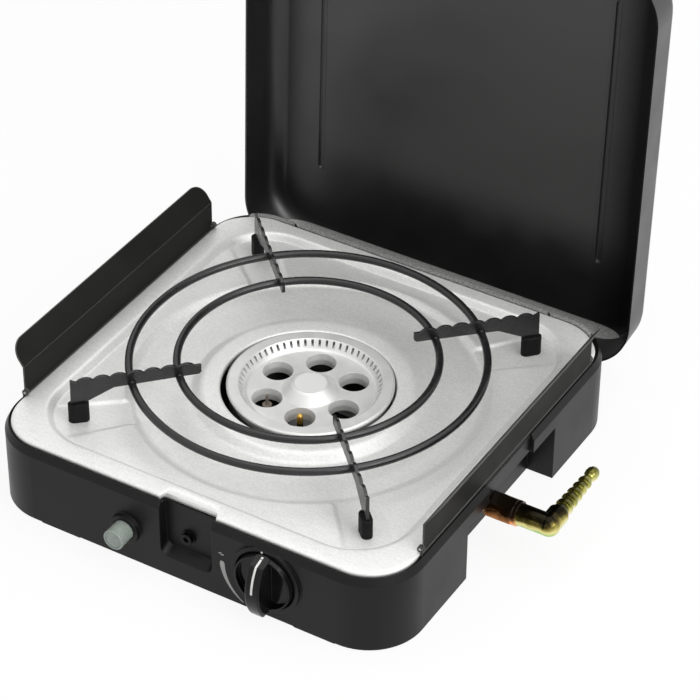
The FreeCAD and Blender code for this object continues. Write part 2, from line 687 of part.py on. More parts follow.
def gas_tap():
    """Tap body behind the front wall, with its flange, inlet and outlet ports."""
    face = TAP_FACE
    flange = box(KNOB_X - 16, KNOB_X + 16, face, face + 3, KNOB_Z - 11, KNOB_Z + 11)
    barrel = rod(10.5, at(KNOB_X, face + 3, KNOB_Z), at(KNOB_X, face + 36, KNOB_Z))
    magnet_cap = rod(7.5, at(KNOB_X, face + 36, KNOB_Z), at(KNOB_X, face + TAP_LENGTH, KNOB_Z))
    y_in = face + TAP_INLET
    y_out = face + TAP_OUTLET
    inlet = rod(6.0, at(KNOB_X, y_in, KNOB_Z), at(KNOB_X + 17, y_in, KNOB_Z))
    outlet = rod(5.0, at(KNOB_X, y_out, MIXER_Z), at(KNOB_X - 15, y_out, MIXER_Z))
    body = flange.fuse(barrel).fuse(magnet_cap).fuse(inlet).fuse(outlet)
    body = body.cut(rod(4.6, at(KNOB_X, face - 1, KNOB_Z), at(KNOB_X, face + 30, KNOB_Z)))
    body = body.cut(rod(3.0, at(KNOB_X + 10, y_in, KNOB_Z), at(KNOB_X + 18, y_in, KNOB_Z)))
    body = body.cut(rod(2.5, at(KNOB_X - 9, y_out, MIXER_Z), at(KNOB_X - 16, y_out, MIXER_Z)))
    return body.removeSplitter()


def push_rod():
    """The rod inside the tap that opens the flame safety valve when the knob is pushed."""
    start = TAP_FACE + 15
    thin = rod(PUSH_ROD_RADIUS, at(KNOB_X, start - 12, KNOB_Z), at(KNOB_X, start, KNOB_Z))
    wide = rod(3.5, at(KNOB_X, start, KNOB_Z), at(KNOB_X, start + 8, KNOB_Z))
    return thin.fuse(wide)


def tap_spindle():
    """The brass stem that the knob turns; hollow where the push rod runs."""
    front = -BASE_HALF - 8
    back = TAP_FACE + 14.5
    stem = rod(4.5, at(KNOB_X, TAP_FACE + 1, KNOB_Z), at(KNOB_X, back, KNOB_Z))
    stem = stem.fuse(rod(3.0, at(KNOB_X, front, KNOB_Z), at(KNOB_X, TAP_FACE + 1, KNOB_Z)))
    stem = stem.cut(box(KNOB_X - 4, KNOB_X + 4, front - 1, front + 7, KNOB_Z + 1.6, KNOB_Z + 4))
    bore = PUSH_ROD_RADIUS + RUNNING_GAP
    return stem.cut(rod(bore, at(KNOB_X, back - 13, KNOB_Z), at(KNOB_X, back + 1, KNOB_Z)))


def knob():
    """Round skirt with an arched bar grip across it and a socket for the stem."""
    face = -BASE_HALF
    back = face - 0.7
    outward = V(0, -1, 0)
    skirt = Part.makeCone(KNOB_RADIUS, KNOB_RADIUS - 1.0, SKIRT_DEPTH, at(KNOB_X, back, KNOB_Z), outward)
    floor = at(KNOB_X, back - SKIRT_DEPTH + SKIRT_DISH, KNOB_Z)
    skirt = skirt.cut(rod(KNOB_RADIUS - 2.0, floor, floor + V(0, -SKIRT_DISH - 1, 0)))
    end = face - 11.0
    middle = face - KNOB_REACH
    r = KNOB_RADIUS
    top = [V(0, back - 1, KNOB_Z + r), V(0, end, KNOB_Z + r - GRIP_SLANT)]
    bottom = [V(0, end, KNOB_Z - r), V(0, back - 1, KNOB_Z - r)]
    crest = Part.Arc(top[1], V(0, middle, KNOB_Z), bottom[0]).toShape()
    sides = [Part.makeLine(*top), crest, Part.makeLine(*bottom), Part.makeLine(bottom[1], top[0])]
    grip = moved(Part.Face(Part.Wire(sides)).extrude(V(GRIP_WIDTH, 0, 0)), x=KNOB_X - GRIP_WIDTH / 2)
    grip = grip.common(rod(r, at(KNOB_X, face, KNOB_Z), at(KNOB_X, middle - 1, KNOB_Z)))
    crests = [e for e in grip.Edges if e.CenterOfMass.y < end - 0.5 and e.Length > r]
    grip = grip.makeFillet(1.1, crests)
    body = skirt.fuse(grip)
    socket = rod(3.0, at(KNOB_X, face + 1, KNOB_Z), at(KNOB_X, face - 8, KNOB_Z))
    flat = box(KNOB_X - 4, KNOB_X + 4, face - 9, face - 1, KNOB_Z + 1.6, KNOB_Z + 4)
    return body.cut(socket.cut(flat))


def igniter_body():
    """Piezo igniter: threaded barrel with a collar behind the wall and a lead terminal."""
    back = -BASE_HALF + WALL
    barrel = rod(IGNITER_RADIUS, at(BUTTON_X, back, BUTTON_Z), at(BUTTON_X, back + 34, BUTTON_Z))
    collar = rod(11.0, at(BUTTON_X, back, BUTTON_Z), at(BUTTON_X, back + 3, BUTTON_Z))
    terminal = rod(2.0, at(BUTTON_X, back + 34, BUTTON_Z), at(BUTTON_X, back + 40, BUTTON_Z))
    body = barrel.fuse(collar).fuse(terminal)
    bore = BUTTON_RADIUS + BUTTON_GAP
    return body.cut(rod(bore, at(BUTTON_X, back - 1, BUTTON_Z), at(BUTTON_X, back + 22, BUTTON_Z)))


def igniter_nut():
    back = -BASE_HALF + WALL + 3
    body = hexagon(20.0, at(BUTTON_X, back, BUTTON_Z), at(BUTTON_X, back + 4, BUTTON_Z))
    return body.cut(rod(IGNITER_RADIUS, at(BUTTON_X, back - 1, BUTTON_Z), at(BUTTON_X, back + 5, BUTTON_Z)))


def igniter_button():
    """Clear grey push button: a cup with a slightly dished face."""
    face = -BASE_HALF - BUTTON_REACH
    back = -BASE_HALF + 14
    body = rod(BUTTON_RADIUS, at(BUTTON_X, face, BUTTON_Z), at(BUTTON_X, back, BUTTON_Z))
    rim = [e for e in body.Edges if e.Closed and e.CenterOfMass.y < face + 0.1]
    body = body.makeFillet(0.8, rim)
    bore = BUTTON_RADIUS - BUTTON_WALL
    hollow = rod(bore, at(BUTTON_X, face + 2.0, BUTTON_Z), at(BUTTON_X, back + 1, BUTTON_Z))
    dish = rod(bore, at(BUTTON_X, face - 1.0, BUTTON_Z), at(BUTTON_X, face + 0.5, BUTTON_Z))
    return body.cut(hollow).cut(dish)


def inlet_bracket():
    """Steel plate behind the niche window that holds the gas inlet."""
    x = BASE_HALF - NICHE_DEPTH - WALL
    plate = box(x - 1.5, x, SCOOP_FRONT - 5, INLET_Y + 12, INLET_Z - 12, NICHE_TOP + 1)
    return plate.cut(rod(6.0, at(x - 3, INLET_Y, INLET_Z), at(x + 1, INLET_Y, INLET_Z)))


def inlet_stub():
    """Brass bulkhead fitting between the inner pipe and the hose nozzle."""
    wall_x = BASE_HALF - NICHE_DEPTH - WALL
    thread = rod(6.0, at(wall_x - 8, INLET_Y, INLET_Z), at(STUB_END, INLET_Y, INLET_Z))
    collar = hexagon(15.0, at(wall_x, INLET_Y, INLET_Z), at(wall_x + 4, INLET_Y, INLET_Z))
    body = thread.fuse(collar)
    return body.cut(rod(3.0, at(wall_x - 9, INLET_Y, INLET_Z), at(STUB_END + 1, INLET_Y, INLET_Z)))


def inlet_locknut():
    wall_x = BASE_HALF - NICHE_DEPTH - WALL - 1.5
    body = hexagon(15.0, at(wall_x - 4, INLET_Y, INLET_Z), at(wall_x, INLET_Y, INLET_Z))
    return body.cut(rod(6.0, at(wall_x - 5, INLET_Y, INLET_Z), at(wall_x + 1, INLET_Y, INLET_Z)))


def union_nut():
    """Hexagon union nut with a round flange at its outer end."""
    start = 139.5
    end = 157.0
    body = hexagon(16.0, at(start, INLET_Y, INLET_Z), at(end, INLET_Y, INLET_Z))
    chamfer = Part.makeCone(8.6, 12.0, 3.4, at(start, INLET_Y, INLET_Z), X)
    body = body.common(chamfer.fuse(rod(12.0, at(start + 3.4, INLET_Y, INLET_Z), at(end, INLET_Y, INLET_Z))))
    body = body.fuse(rod(8.0, at(end, INLET_Y, INLET_Z), at(NUT_END, INLET_Y, INLET_Z)))
    return body.cut(rod(6.0, at(138.0, INLET_Y, INLET_Z), at(161.0, INLET_Y, INLET_Z)))


def hose_elbow():
    """Right-angle elbow with a domed corner."""
    leg = rod(7.0, at(NUT_END, INLET_Y, INLET_Z), at(ELBOW_X, INLET_Y, INLET_Z))
    root = rod(6.0, at(STUB_END + 0.2, INLET_Y, INLET_Z), at(NUT_END, INLET_Y, INLET_Z))
    ball = Part.makeSphere(7.1, at(ELBOW_X, INLET_Y, INLET_Z))
    stub = rod(6.8, at(ELBOW_X, INLET_Y, INLET_Z), at(ELBOW_X, INLET_Y + 12, INLET_Z))
    body = leg.fuse(root).fuse(ball).fuse(stub)
    body = body.cut(rod(3.0, at(STUB_END - 1, INLET_Y, INLET_Z), at(ELBOW_X, INLET_Y, INLET_Z)))
    return body.cut(rod(3.0, at(ELBOW_X, INLET_Y, INLET_Z), at(ELBOW_X, INLET_Y + 13, INLET_Z)))


def hose_nozzle():
    """Barbed nozzle: rings that fall away towards the tip, and a rounded end."""
    start = INLET_Y + 12
    pitch = 6.6
    outline = [(3.0, start)]
    radius = 5.9
    for k in range(6):
        y = start + pitch * k
        outline.append((radius - 1.5, y))
        outline.append((radius, y + 0.6))
        outline.append((radius, y + 1.6))
        outline.append((radius - 1.7, y + pitch - 0.6))
        radius = radius - 0.3
    tip = NOZZLE_END
    outline += [(3.1, tip - 7.4), (4.1, tip - 6.2), (4.4, tip - 4.2), (4.1, tip - 1.8)]
    outline += [(3.3, tip), (2.2, tip), (2.2, start)]
    body = turned_profile(outline)
    return moved(body, x=ELBOW_X, z=INLET_Z)


def feed_pipe():
    """Rigid pipe from the inlet to the tap."""
    x_in = BASE_HALF - NICHE_DEPTH - WALL - 8
    y_tap = TAP_FACE + TAP_INLET
    points = [at(x_in + 8, INLET_Y, INLET_Z), at(98.0, INLET_Y, INLET_Z), at(98.0, -70.0, KNOB_Z - 6),
              at(98.0, y_tap, KNOB_Z), at(KNOB_X + 10, y_tap, KNOB_Z)]
    return piped(points, 9.0, 3.0)


def jet_pipe():
    """Short pipe from the tap to the jet."""
    y_tap = TAP_FACE + TAP_OUTLET
    jet_x = MIXER_X + BURNER_X
    points = [at(KNOB_X - 9, y_tap, MIXER_Z), at(jet_x, y_tap, MIXER_Z), at(jet_x, JET_BACK, MIXER_Z)]
    return piped(points, 5.0, 2.5)


def support_ring(radius):
    return Part.makeTorus(radius, WIRE / 2, at(0, 0, RING_Z), Z)


def support_arm():
    """Upright plate along +X: scalloped top, notches that sit on the rings, leg at the outer end."""
    first = ARM_TIP + ARM_FLAT
    edges = [Part.makeLine(V(ARM_TIP, 0, ARM_TOP_Z), V(first, 0, ARM_TOP_Z))]
    for k in range(ARM_HUMPS):
        a = V(first + ARM_PITCH * k, 0, ARM_TOP_Z)
        b = V(first + ARM_PITCH * (k + 1), 0, ARM_TOP_Z)
        m = (a + b) * 0.5 + V(0, 0, ARM_HUMP_RISE)
        edges.append(Part.Arc(a, m, b).toShape())
    low = RING_Z - 0.3
    foot = FOOT_AT * math.sqrt(2)
    corners = [(first + ARM_PITCH * ARM_HUMPS, ARM_TOP_Z), (ARM_END, ARM_TOP_Z + ARM_SPIKE),
               (ARM_END + 0.4, FOOT_FLOOR_Z + 4), (foot - 5.5, FOOT_FLOOR_Z + 4),
               (foot - 5.5, RING_Z - 8), (121.0, low), (ARM_TIP + 1.5, low + 0.9), (ARM_TIP, low + 2.2),
               (ARM_TIP, ARM_TOP_Z)]
    points = [V(x, 0, z) for x, z in corners]
    edges += Part.makePolygon(points).Edges
    plate = Part.Face(Part.Wire(edges)).extrude(V(0, ARM_SHEET, 0))
    plate = moved(plate, y=-ARM_SHEET / 2)
    return plate.cut(support_ring(OUTER_RING)).cut(support_ring(INNER_RING))


def support_cap():
    """Rubber cap on the end of an arm's leg."""
    foot = FOOT_AT * math.sqrt(2)
    low = FOOT_FLOOR_Z + 0.1
    width = 7.0
    block = box(foot - 3.0, foot + 3.0, -width / 2, width / 2, low, low + CAP_HEIGHT)
    for x in (foot - 3.0, foot + 3.0):
        block = block.fuse(rod(width / 2, at(x, 0, low), at(x, 0, low + CAP_HEIGHT)))
    block = block.removeSplitter()
    middle = low + CAP_HEIGHT / 2
    rims = [e for e in block.Edges if abs(e.CenterOfMass.z - middle) > CAP_HEIGHT / 2 - 0.01]
    return block.makeChamfer(0.7, rims)


def arm_place(shape, k):
    return turned_z(shape, 45 + 90 * k)


def ear_spans():
    """The two stretches along Y that the rail's ears take up, beyond the ends of the shield."""
    front = SHIELD_FRONT - EAR_GAP
    back = SHIELD_BACK + EAR_GAP
    return [(front - EAR_SHEET, front), (back, back + EAR_SHEET)]


def shield_rail():
    """Right rail: a thin strip between tray and casing, held by its flange, with an ear at each end."""
    out = RAIL_X + RAIL_SHEET
    start = ear_spans()[0][0]
    end = ear_spans()[1][1]
    rail = box(RAIL_X, out, start, end, LEDGE_Z, RAIL_TOP_Z)
    rail = rail.fuse(box(LEDGE_INNER_HALF + 0.5, out, start + 20, end - 20, LEDGE_Z, LEDGE_Z + 0.8))
    for y0, y1 in ear_spans():
        rail = rail.fuse(box(RAIL_X, out, y0, y1, RAIL_TOP_Z - 1, PIVOT_Z + 1))
        rail = rail.fuse(rod(EYE_RADIUS, at(PIVOT_X, y0, PIVOT_Z), at(PIVOT_X, y1, PIVOT_Z)))
        rail = rail.cut(rod(PIVOT_PIN, at(PIVOT_X, y0 - 1, PIVOT_Z), at(PIVOT_X, y1 + 1, PIVOT_Z)))
    return rail.removeSplitter()


def wind_shield():
    """Right wind shield: upright sheet with an outward leaf, round top corners and pivot tabs."""
    half = SHIELD_SHEET / 2
    wall = box(SHIELD_X - half, SHIELD_X + half, SHIELD_FRONT, SHIELD_BACK, SHIELD_FOOT_Z, SHIELD_BEND_Z)
    leaf = Part.Face(leaf_outline(SHIELD_CORNER)).extrude(V(SHIELD_SHEET, 0, 0))
    leaf = moved(leaf, x=-half)
    leaf.rotate(V(0, 0, 0), Y, SHIELD_LEAN)
    leaf = moved(leaf, x=SHIELD_X, z=SHIELD_BEND_Z)
    fold = rod(half, at(SHIELD_X, SHIELD_FRONT, SHIELD_BEND_Z), at(SHIELD_X, SHIELD_BACK, SHIELD_BEND_Z))
    shield = wall.fuse(leaf).fuse(fold)
    hole = PIVOT_PIN + RUNNING_GAP
    for y0 in (SHIELD_FRONT, SHIELD_BACK - 1.0):
        tab = rod(EYE_RADIUS, at(PIVOT_X, y0, PIVOT_Z), at(PIVOT_X, y0 + 1.0, PIVOT_Z))
        tab = tab.fuse(box(PIVOT_X, SHIELD_X, y0, y0 + 1.0, PIVOT_Z - EYE_RADIUS, PIVOT_Z + EYE_RADIUS))
        shield = shield.fuse(tab)
        shield = shield.cut(rod(hole, at(PIVOT_X, y0 - 1, PIVOT_Z), at(PIVOT_X, y0 + 2, PIVOT_Z)))
    return shield.removeSplitter()


def leaf_outline(corner):
    """The leaf laid upright in the YZ plane: square below, round corners above."""
    f = SHIELD_FRONT
    b = SHIELD_BACK
    h = SHIELD_LEAF
    s = corner * (1 - math.sqrt(0.5))
    edges = [Part.makeLine(V(0, b, 0), V(0, f, 0)), Part.makeLine(V(0, f, 0), V(0, f, h - corner)),
             Part.Arc(V(0, f, h - corner), V(0, f + s, h - s), V(0, f + corner, h)).toShape(),
             Part.makeLine(V(0, f + corner, h), V(0, b - corner, h)),
             Part.Arc(V(0, b - corner, h), V(0, b - s, h - s), V(0, b, h - corner)).toShape(),
             Part.makeLine(V(0, b, h - corner), V(0, b, 0))]
    return Part.Wire(edges)


def shield_pins():
    """Four pivot pins, one at each end of each shield, fast in the ears of the rails."""
    pins = []
    for (y0, y1), tail in zip(ear_spans(), (2.2, -2.2)):
        start = min(y0, y0 + tail) if tail < 0 else y0
        end = max(y1, y1 + tail) if tail > 0 else y1
        pin = rod(PIVOT_PIN, at(PIVOT_X, start, PIVOT_Z), at(PIVOT_X, end, PIVOT_Z))
        pins.append(pin)
        pins.append(mirrored_x(pin))
    return Part.makeCompound(pins)


def lid_inside(z):
    """How far the inner face of the shut lid's walls stands from the middle at height z."""
    return LID_HALF - LID_SHEET - LID_DRAFT * (z + LID_SHEET - LID_RIM_Z) / LID_WALL


def lid_form(inset):
    """The lid as a solid block, shut: drafted walls that turn into the flat top by a wide bend."""
    half = LID_HALF - inset
    corner = LID_CORNER - inset
    top = LID_RIM_Z + LID_WALL + LID_CROWN
    narrowing = LID_DRAFT * (top - LID_RIM_Z) / LID_WALL
    block = taper(half, corner, LID_RIM_Z, half - narrowing, corner - narrowing, top)
    edge = [e for e in block.Edges if e.BoundBox.ZMin > top - 0.01]
    return block.makeFillet(LID_BEND - inset, edge)


def lid_shell():
    """Pressed lid with two raised beads along the top for stiffness."""
    inside = lid_form(LID_SHEET)
    shell = lid_form(0).cut(moved(inside, z=-LID_SHEET))
    mouth = slab(LID_HALF + 1, LID_CORNER + 1, LID_RIM_Z - 3, LID_RIM_Z)
    shell = shell.cut(mouth)
    top = LID_RIM_Z + LID_WALL + LID_CROWN
    for x in (-BEAD_X, BEAD_X):
        outer = bead_bar(x, BEAD_HALF, top - 0.5, top + BEAD_RISE)
        inner = bead_bar(x, BEAD_HALF - 0.9, top - LID_SHEET - 1, top + BEAD_RISE - LID_SHEET)
        shell = shell.fuse(outer).cut(inner)
    for x in beside(-HINGE_X) + beside(HINGE_X):
        hole = rod(RIVET, at(x, LID_HALF - 8, ARM_RIVET_Z), at(x, LID_HALF + 2, ARM_RIVET_Z))
        shell = shell.cut(hole)
    for x in beside(CATCH_X):
        hole = rod(RIVET, at(x, -LID_HALF - 2, CATCH_RIVET_Z), at(x, -LID_HALF + 8, CATCH_RIVET_Z))
        shell = shell.cut(hole)
    return opened(shell)


def beside(x):
    """The two places either side of x where a piece of the lid is riveted."""
    return [x - RIVET_SPREAD, x + RIVET_SPREAD]


def bead_bar(x, half_width, low, high):
    """A low bar along Y with round ends and a bevelled top, for one bead of the lid."""
    bar = box(x - half_width, x + half_width, BEAD_FRONT, BEAD_BACK, low, high)
    for y in (BEAD_FRONT, BEAD_BACK):
        bar = bar.fuse(rod(half_width, at(x, y, low), at(x, y, high)))
    bar = bar.removeSplitter()
    rim = [e for e in bar.Edges if abs(e.CenterOfMass.z - high) < 0.01]
    return bar.makeChamfer(0.8, rim)


def opened(shape):
    """Swings a piece of the shut lid about the hinge to where the photograph has it."""
    copy = shape.copy()
    copy.rotate(at(0, HINGE_Y, HINGE_Z), X, -LID_OPEN_ANGLE)
    return copy


def lid_arm(x):
    """Swan-neck hinge arm: a web that turns on the pin and a flange riveted inside the lid."""
    low = LID_RIM_Z + 5.5
    high = LID_RIM_Z + 18
    back = lid_inside(high) - 0.1
    neck = back - 2.1
    outline = [(HINGE_Y - 4.5, HINGE_Z), (HINGE_Y - 3.2, HINGE_Z - 3.2), (HINGE_Y, HINGE_Z - 4.5),
               (HINGE_Y + 3.2, HINGE_Z - 3.2), (HINGE_Y + 4.5, HINGE_Z), (back - 0.8, HINGE_Z + 13),
               (back, HINGE_Z + 19), (back, high), (neck, high), (neck, HINGE_Z + 19.5),
               (neck - 2.5, HINGE_Z + 16), (HINGE_Y - 3.2, HINGE_Z + 4.0)]
    web = side_plate(outline, x - HINGE_WEB / 2, x + HINGE_WEB / 2)
    web = web.cut(rod(HINGE_PIN + RUNNING_GAP, at(x - 5, HINGE_Y, HINGE_Z), at(x + 5, HINGE_Y, HINGE_Z)))
    face_low = lid_inside(low) - 0.05
    face_high = lid_inside(high) - 0.05
    flange = side_plate([(face_low - 1.5, low), (face_low, low), (face_high, high), (face_high - 1.5, high)],
                        x - 8.5, x + 8.5)
    arm = web.fuse(flange)
    for spot in beside(x):
        arm = arm.cut(rod(RIVET, at(spot, neck - 3, ARM_RIVET_Z), at(spot, back + 2, ARM_RIVET_Z)))
    return opened(arm.removeSplitter())


def lid_catch():
    """Sprung tongue inside the front of the lid that drops into the pocket before the screw."""
    high = LID_RIM_Z + 15
    face_low = -lid_inside(LID_RIM_Z + 3) + 0.05
    face_high = -lid_inside(high) + 0.05
    low = CATCH_Z - 7
    shape = [(face_low, low), (face_low + 1.0, low), (face_low + 1.0, LID_RIM_Z + 3),
             (face_high + 1.0, high), (face_high, high), (face_low, LID_RIM_Z + 3)]
    tongue = side_plate(shape, CATCH_X - 8, CATCH_X + 8)
    tongue = tongue.cut(rod(3.0, at(CATCH_X, face_low - 1, CATCH_Z), at(CATCH_X, face_low + 2, CATCH_Z)))
    for x in beside(CATCH_X):
        hole = rod(RIVET, at(x, face_low - 2, CATCH_RIVET_Z), at(x, face_low + 3, CATCH_RIVET_Z))
        tongue = tongue.cut(hole)
    return opened(tongue)


def rivet(x, y_head, y_tail, z):
    way = 1 if y_tail > y_head else -1
    shank = rod(RIVET, at(x, y_head, z), at(x, y_tail, z))
    head = rod(3.0, at(x, y_head, z), at(x, y_head - way * 1.0, z))
    tail = rod(2.4, at(x, y_tail, z), at(x, y_tail + way * 0.8, z))
    return shank.fuse(head).fuse(tail)


def lid_rivets():
    rivets = []
    inside = lid_inside(ARM_RIVET_Z)
    for x in beside(-HINGE_X) + beside(HINGE_X):
        rivets.append(rivet(x, inside + LID_SHEET + 0.25, inside - 1.75, ARM_RIVET_Z))
    inside = lid_inside(CATCH_RIVET_Z)
    for x in beside(CATCH_X):
        rivets.append(rivet(x, -inside - LID_SHEET - 0.25, -inside + 1.25, CATCH_RIVET_Z))
    return opened(Part.makeCompound(rivets))


def hinge_bracket(x):
    """Hat-section bracket inside the rear wall, with an ear on each side of the lid arm."""
    inner = HINGE_WEB / 2 + 0.4
    outer = inner + EAR_THICK
    back = BASE_HALF - WALL
    front = HINGE_Y - 6
    outline = [(front, HINGE_Z - 6), (back, HINGE_Z - 8), (back, HINGE_Z + 8), (front, HINGE_Z + 6)]
    shape = box(x - outer, x + outer, front - EAR_THICK, front, HINGE_Z - 6, HINGE_Z + 6)
    for side in (-1, 1):
        x0, x1 = sorted((x + side * inner, x + side * outer))
        shape = shape.fuse(side_plate(outline, x0, x1))
        x0, x1 = sorted((x + side * inner, x + side * (inner + 10)))
        flange = box(x0, x1, back - EAR_THICK, back, HINGE_Z - 8, HINGE_Z + 8)
        spot = x + side * BRACKET_RIVET
        flange = flange.cut(rod(RIVET, at(spot, back - 3, HINGE_Z), at(spot, back + 1, HINGE_Z)))
        shape = shape.fuse(flange)
    shape = shape.cut(rod(HINGE_PIN, at(x - 8, HINGE_Y, HINGE_Z), at(x + 8, HINGE_Y, HINGE_Z)))
    return shape.removeSplitter()


def hinge_pin(x):
    reach = HINGE_WEB / 2 + 0.4 + EAR_THICK + 1.0
    pin = rod(HINGE_PIN, at(x - reach, HINGE_Y, HINGE_Z), at(x + reach, HINGE_Y, HINGE_Z))
    for side in (-1, 1):
        end = at(x + side * reach, HINGE_Y, HINGE_Z)
        pin = pin.fuse(rod(3.0, end, end + V(side * 1.0, 0, 0)))
    return pin


def bracket_rivets():
    rivets = []
    for x in (-HINGE_X, HINGE_X):
        for dx in (-BRACKET_RIVET, BRACKET_RIVET):
            rivets.append(rivet(x + dx, BASE_HALF, BASE_HALF - WALL - EAR_THICK, HINGE_Z))
    return Part.makeCompound(rivets)


def bracket_rivet_holes(casing):
    for x in (-HINGE_X, HINGE_X):
        for dx in (-BRACKET_RIVET, BRACKET_RIVET):
            hole = rod(RIVET, at(x + dx, BASE_HALF - WALL - 1, HINGE_Z), at(x + dx, BASE_HALF + 1, HINGE_Z))
            casing = casing.cut(hole)
    return casing


def catch_screw():
    back = -BASE_HALF + POCKET_DEPTH
    head = rod(3.9, at(CATCH_X, back - 3.4, CATCH_Z), at(CATCH_X, back - 1.0, CATCH_Z))
    shank = rod(1.7, at(CATCH_X, back - 1.0, CATCH_Z), at(CATCH_X, back + 9, CATCH_Z))
    recess = hexagon(3.4, at(CATCH_X, back - 3.5, CATCH_Z), at(CATCH_X, back - 1.9, CATCH_Z))
    return head.fuse(shank).cut(recess)


def catch_washer():
    back = -BASE_HALF + POCKET_DEPTH
    return ring_about(4.9, 1.7, at(CATCH_X, back - 1.0, CATCH_Z), at(CATCH_X, back, CATCH_Z))


def sensor_lead():
    """Thin capillary from the probe to the back of the tap."""
    x, y = air_hole(5)
    x = x + BURNER_X
    tap = TAP_FACE + TAP_LENGTH
    points = [at(x, y, 28.0), at(x, y, 14.0), at(x + 6, -62.0, 14.0),
              at(KNOB_X, -72.0, 18.0), at(KNOB_X, tap + 9, KNOB_Z), at(KNOB_X, tap, KNOB_Z)]
    return piped(points, 4.0, 0.9)


def spark_lead():
    """Insulated wire from the igniter to the electrode."""
    x, y = air_hole(4)
    x = x + BURNER_X
    start = -BASE_HALF + WALL + 40
    points = [at(BUTTON_X, start, BUTTON_Z), at(BUTTON_X, start + 8, BUTTON_Z),
              at(BUTTON_X + 3, -72.0, 16.0), at(x, y, 14.0), at(x, y, 28.0)]
    return piped(points, 4.0, 1.3)


def all_pieces():
    pieces = {}
    pieces["base_casing"] = bracket_rivet_holes(base_casing())
    pieces["steel_tray"] = steel_tray()
    pieces["tray_studs"] = four_corners(stud, STUD_AT)
    pieces["tray_nuts"] = four_corners(nut, STUD_AT)
    pieces["rubber_feet"] = Part.makeCompound([rubber_foot(x, y) for x, y in FEET])
    pieces["burner_head"] = moved(burner_head(), x=BURNER_X)
    pieces["burner_body"] = moved(burner_body(), x=BURNER_X)
    pieces["mixing_tube"] = moved(mixing_tube(), x=BURNER_X)
    pieces["gas_jet"] = moved(jet(), x=BURNER_X)
    pieces["burner_bridge"] = burner_bridge()
    pieces["bridge_screws"] = Part.makeCompound([bridge_screw(x, y) for x, y in POSTS])
    pieces["burner_bolts"] = Part.makeCompound([burner_bolt(x + BURNER_X, y) for x, y in bolt_spots()])
    pieces["thermocouple"] = moved(thermocouple(), x=BURNER_X)
    pieces["thermocouple_lead"] = sensor_lead()
    pieces["spark_electrode"] = moved(spark_electrode(), x=BURNER_X)
    pieces["spark_lead"] = spark_lead()
    pieces["sensor_bracket"] = moved(sensor_bracket(), x=BURNER_X)
    pieces["gas_tap"] = gas_tap()
    pieces["tap_push_rod"] = push_rod()
    pieces["tap_spindle"] = tap_spindle()
    pieces["knob"] = knob()
    pieces["igniter_body"] = igniter_body()
    pieces["igniter_nut"] = igniter_nut()
    pieces["igniter_button"] = igniter_button()
    pieces["inlet_bracket"] = inlet_bracket()
    pieces["inlet_stub"] = inlet_stub()
    pieces["inlet_locknut"] = inlet_locknut()
    pieces["union_nut"] = union_nut()
    pieces["hose_elbow"] = hose_elbow()
    pieces["hose_nozzle"] = hose_nozzle()
    pieces["feed_pipe"] = feed_pipe()
    pieces["jet_pipe"] = jet_pipe()
    pieces["support_outer_ring"] = support_ring(OUTER_RING)
    pieces["support_inner_ring"] = support_ring(INNER_RING)
    arm = support_arm()
    cap = support_cap()
    cap = cap.cut(arm)
    corners = ["rear_right", "rear_left", "front_left", "front_right"]
    for k, name in enumerate(corners):
        pieces["support_arm_" + name] = arm_place(arm, k)
        pieces["support_cap_" + name] = arm_place(cap, k)
    shield = wind_shield()
    pieces["wind_shield_right"] = shield
    pieces["wind_shield_left"] = mirrored_x(shield)
    rail = shield_rail()
    pieces["shield_rail_right"] = rail
    pieces["shield_rail_left"] = mirrored_x(rail)
    pieces["shield_pins"] = shield_pins()
    pieces["lid_shell"] = lid_shell()
    pieces["lid_arm_left"] = lid_arm(-HINGE_X)
    pieces["lid_arm_right"] = lid_arm(HINGE_X)
    pieces["lid_catch"] = lid_catch()
    pieces["lid_rivets"] = lid_rivets()
    pieces["hinge_bracket_left"] = hinge_bracket(-HINGE_X)
    pieces["hinge_bracket_right"] = hinge_bracket(HINGE_X)
    pieces["hinge_pins"] = Part.makeCompound([hinge_pin(-HINGE_X), hinge_pin(HINGE_X)])
    pieces["bracket_rivets"] = bracket_rivets()
    pieces["catch_screw"] = catch_screw()
    pieces["catch_washer"] = catch_washer()
    return pieces


def main():
    pieces = all_pieces()
    whole = FreeCAD.BoundBox()
    for shape in pieces.values():
        whole.add(shape.optimalBoundingBox(False))
    shift = V(-whole.Center.x, -whole.Center.y, -whole.ZMin)
    print("origin moved by", shift)
    os.makedirs("parts", exist_ok=True)
    for name, shape in pieces.items():
        shape.translate(shift)
        if not shape.isValid():
            print("not valid:", name)
        print(name, len(shape.Solids), round(shape.Volume))
        shape.exportStep("parts/" + name + ".step")


main()
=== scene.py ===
import bmesh
import bpy
import json
import math
from mathutils import Matrix, Vector


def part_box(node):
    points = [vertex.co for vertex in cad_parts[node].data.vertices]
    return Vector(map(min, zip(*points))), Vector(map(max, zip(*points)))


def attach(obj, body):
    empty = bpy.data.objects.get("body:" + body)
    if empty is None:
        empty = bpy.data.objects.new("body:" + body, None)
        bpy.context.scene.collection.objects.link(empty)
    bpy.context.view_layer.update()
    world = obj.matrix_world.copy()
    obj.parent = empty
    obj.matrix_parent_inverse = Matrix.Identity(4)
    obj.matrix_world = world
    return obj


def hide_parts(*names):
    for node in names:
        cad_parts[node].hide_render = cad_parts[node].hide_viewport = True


# Single burner gas stove with its lid open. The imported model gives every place. Sizes here are in
# millimetres and angles in degrees, in the stove's own drawing frame: its upright axis runs through the
# middle of the steel tray, and heights are above the floor.

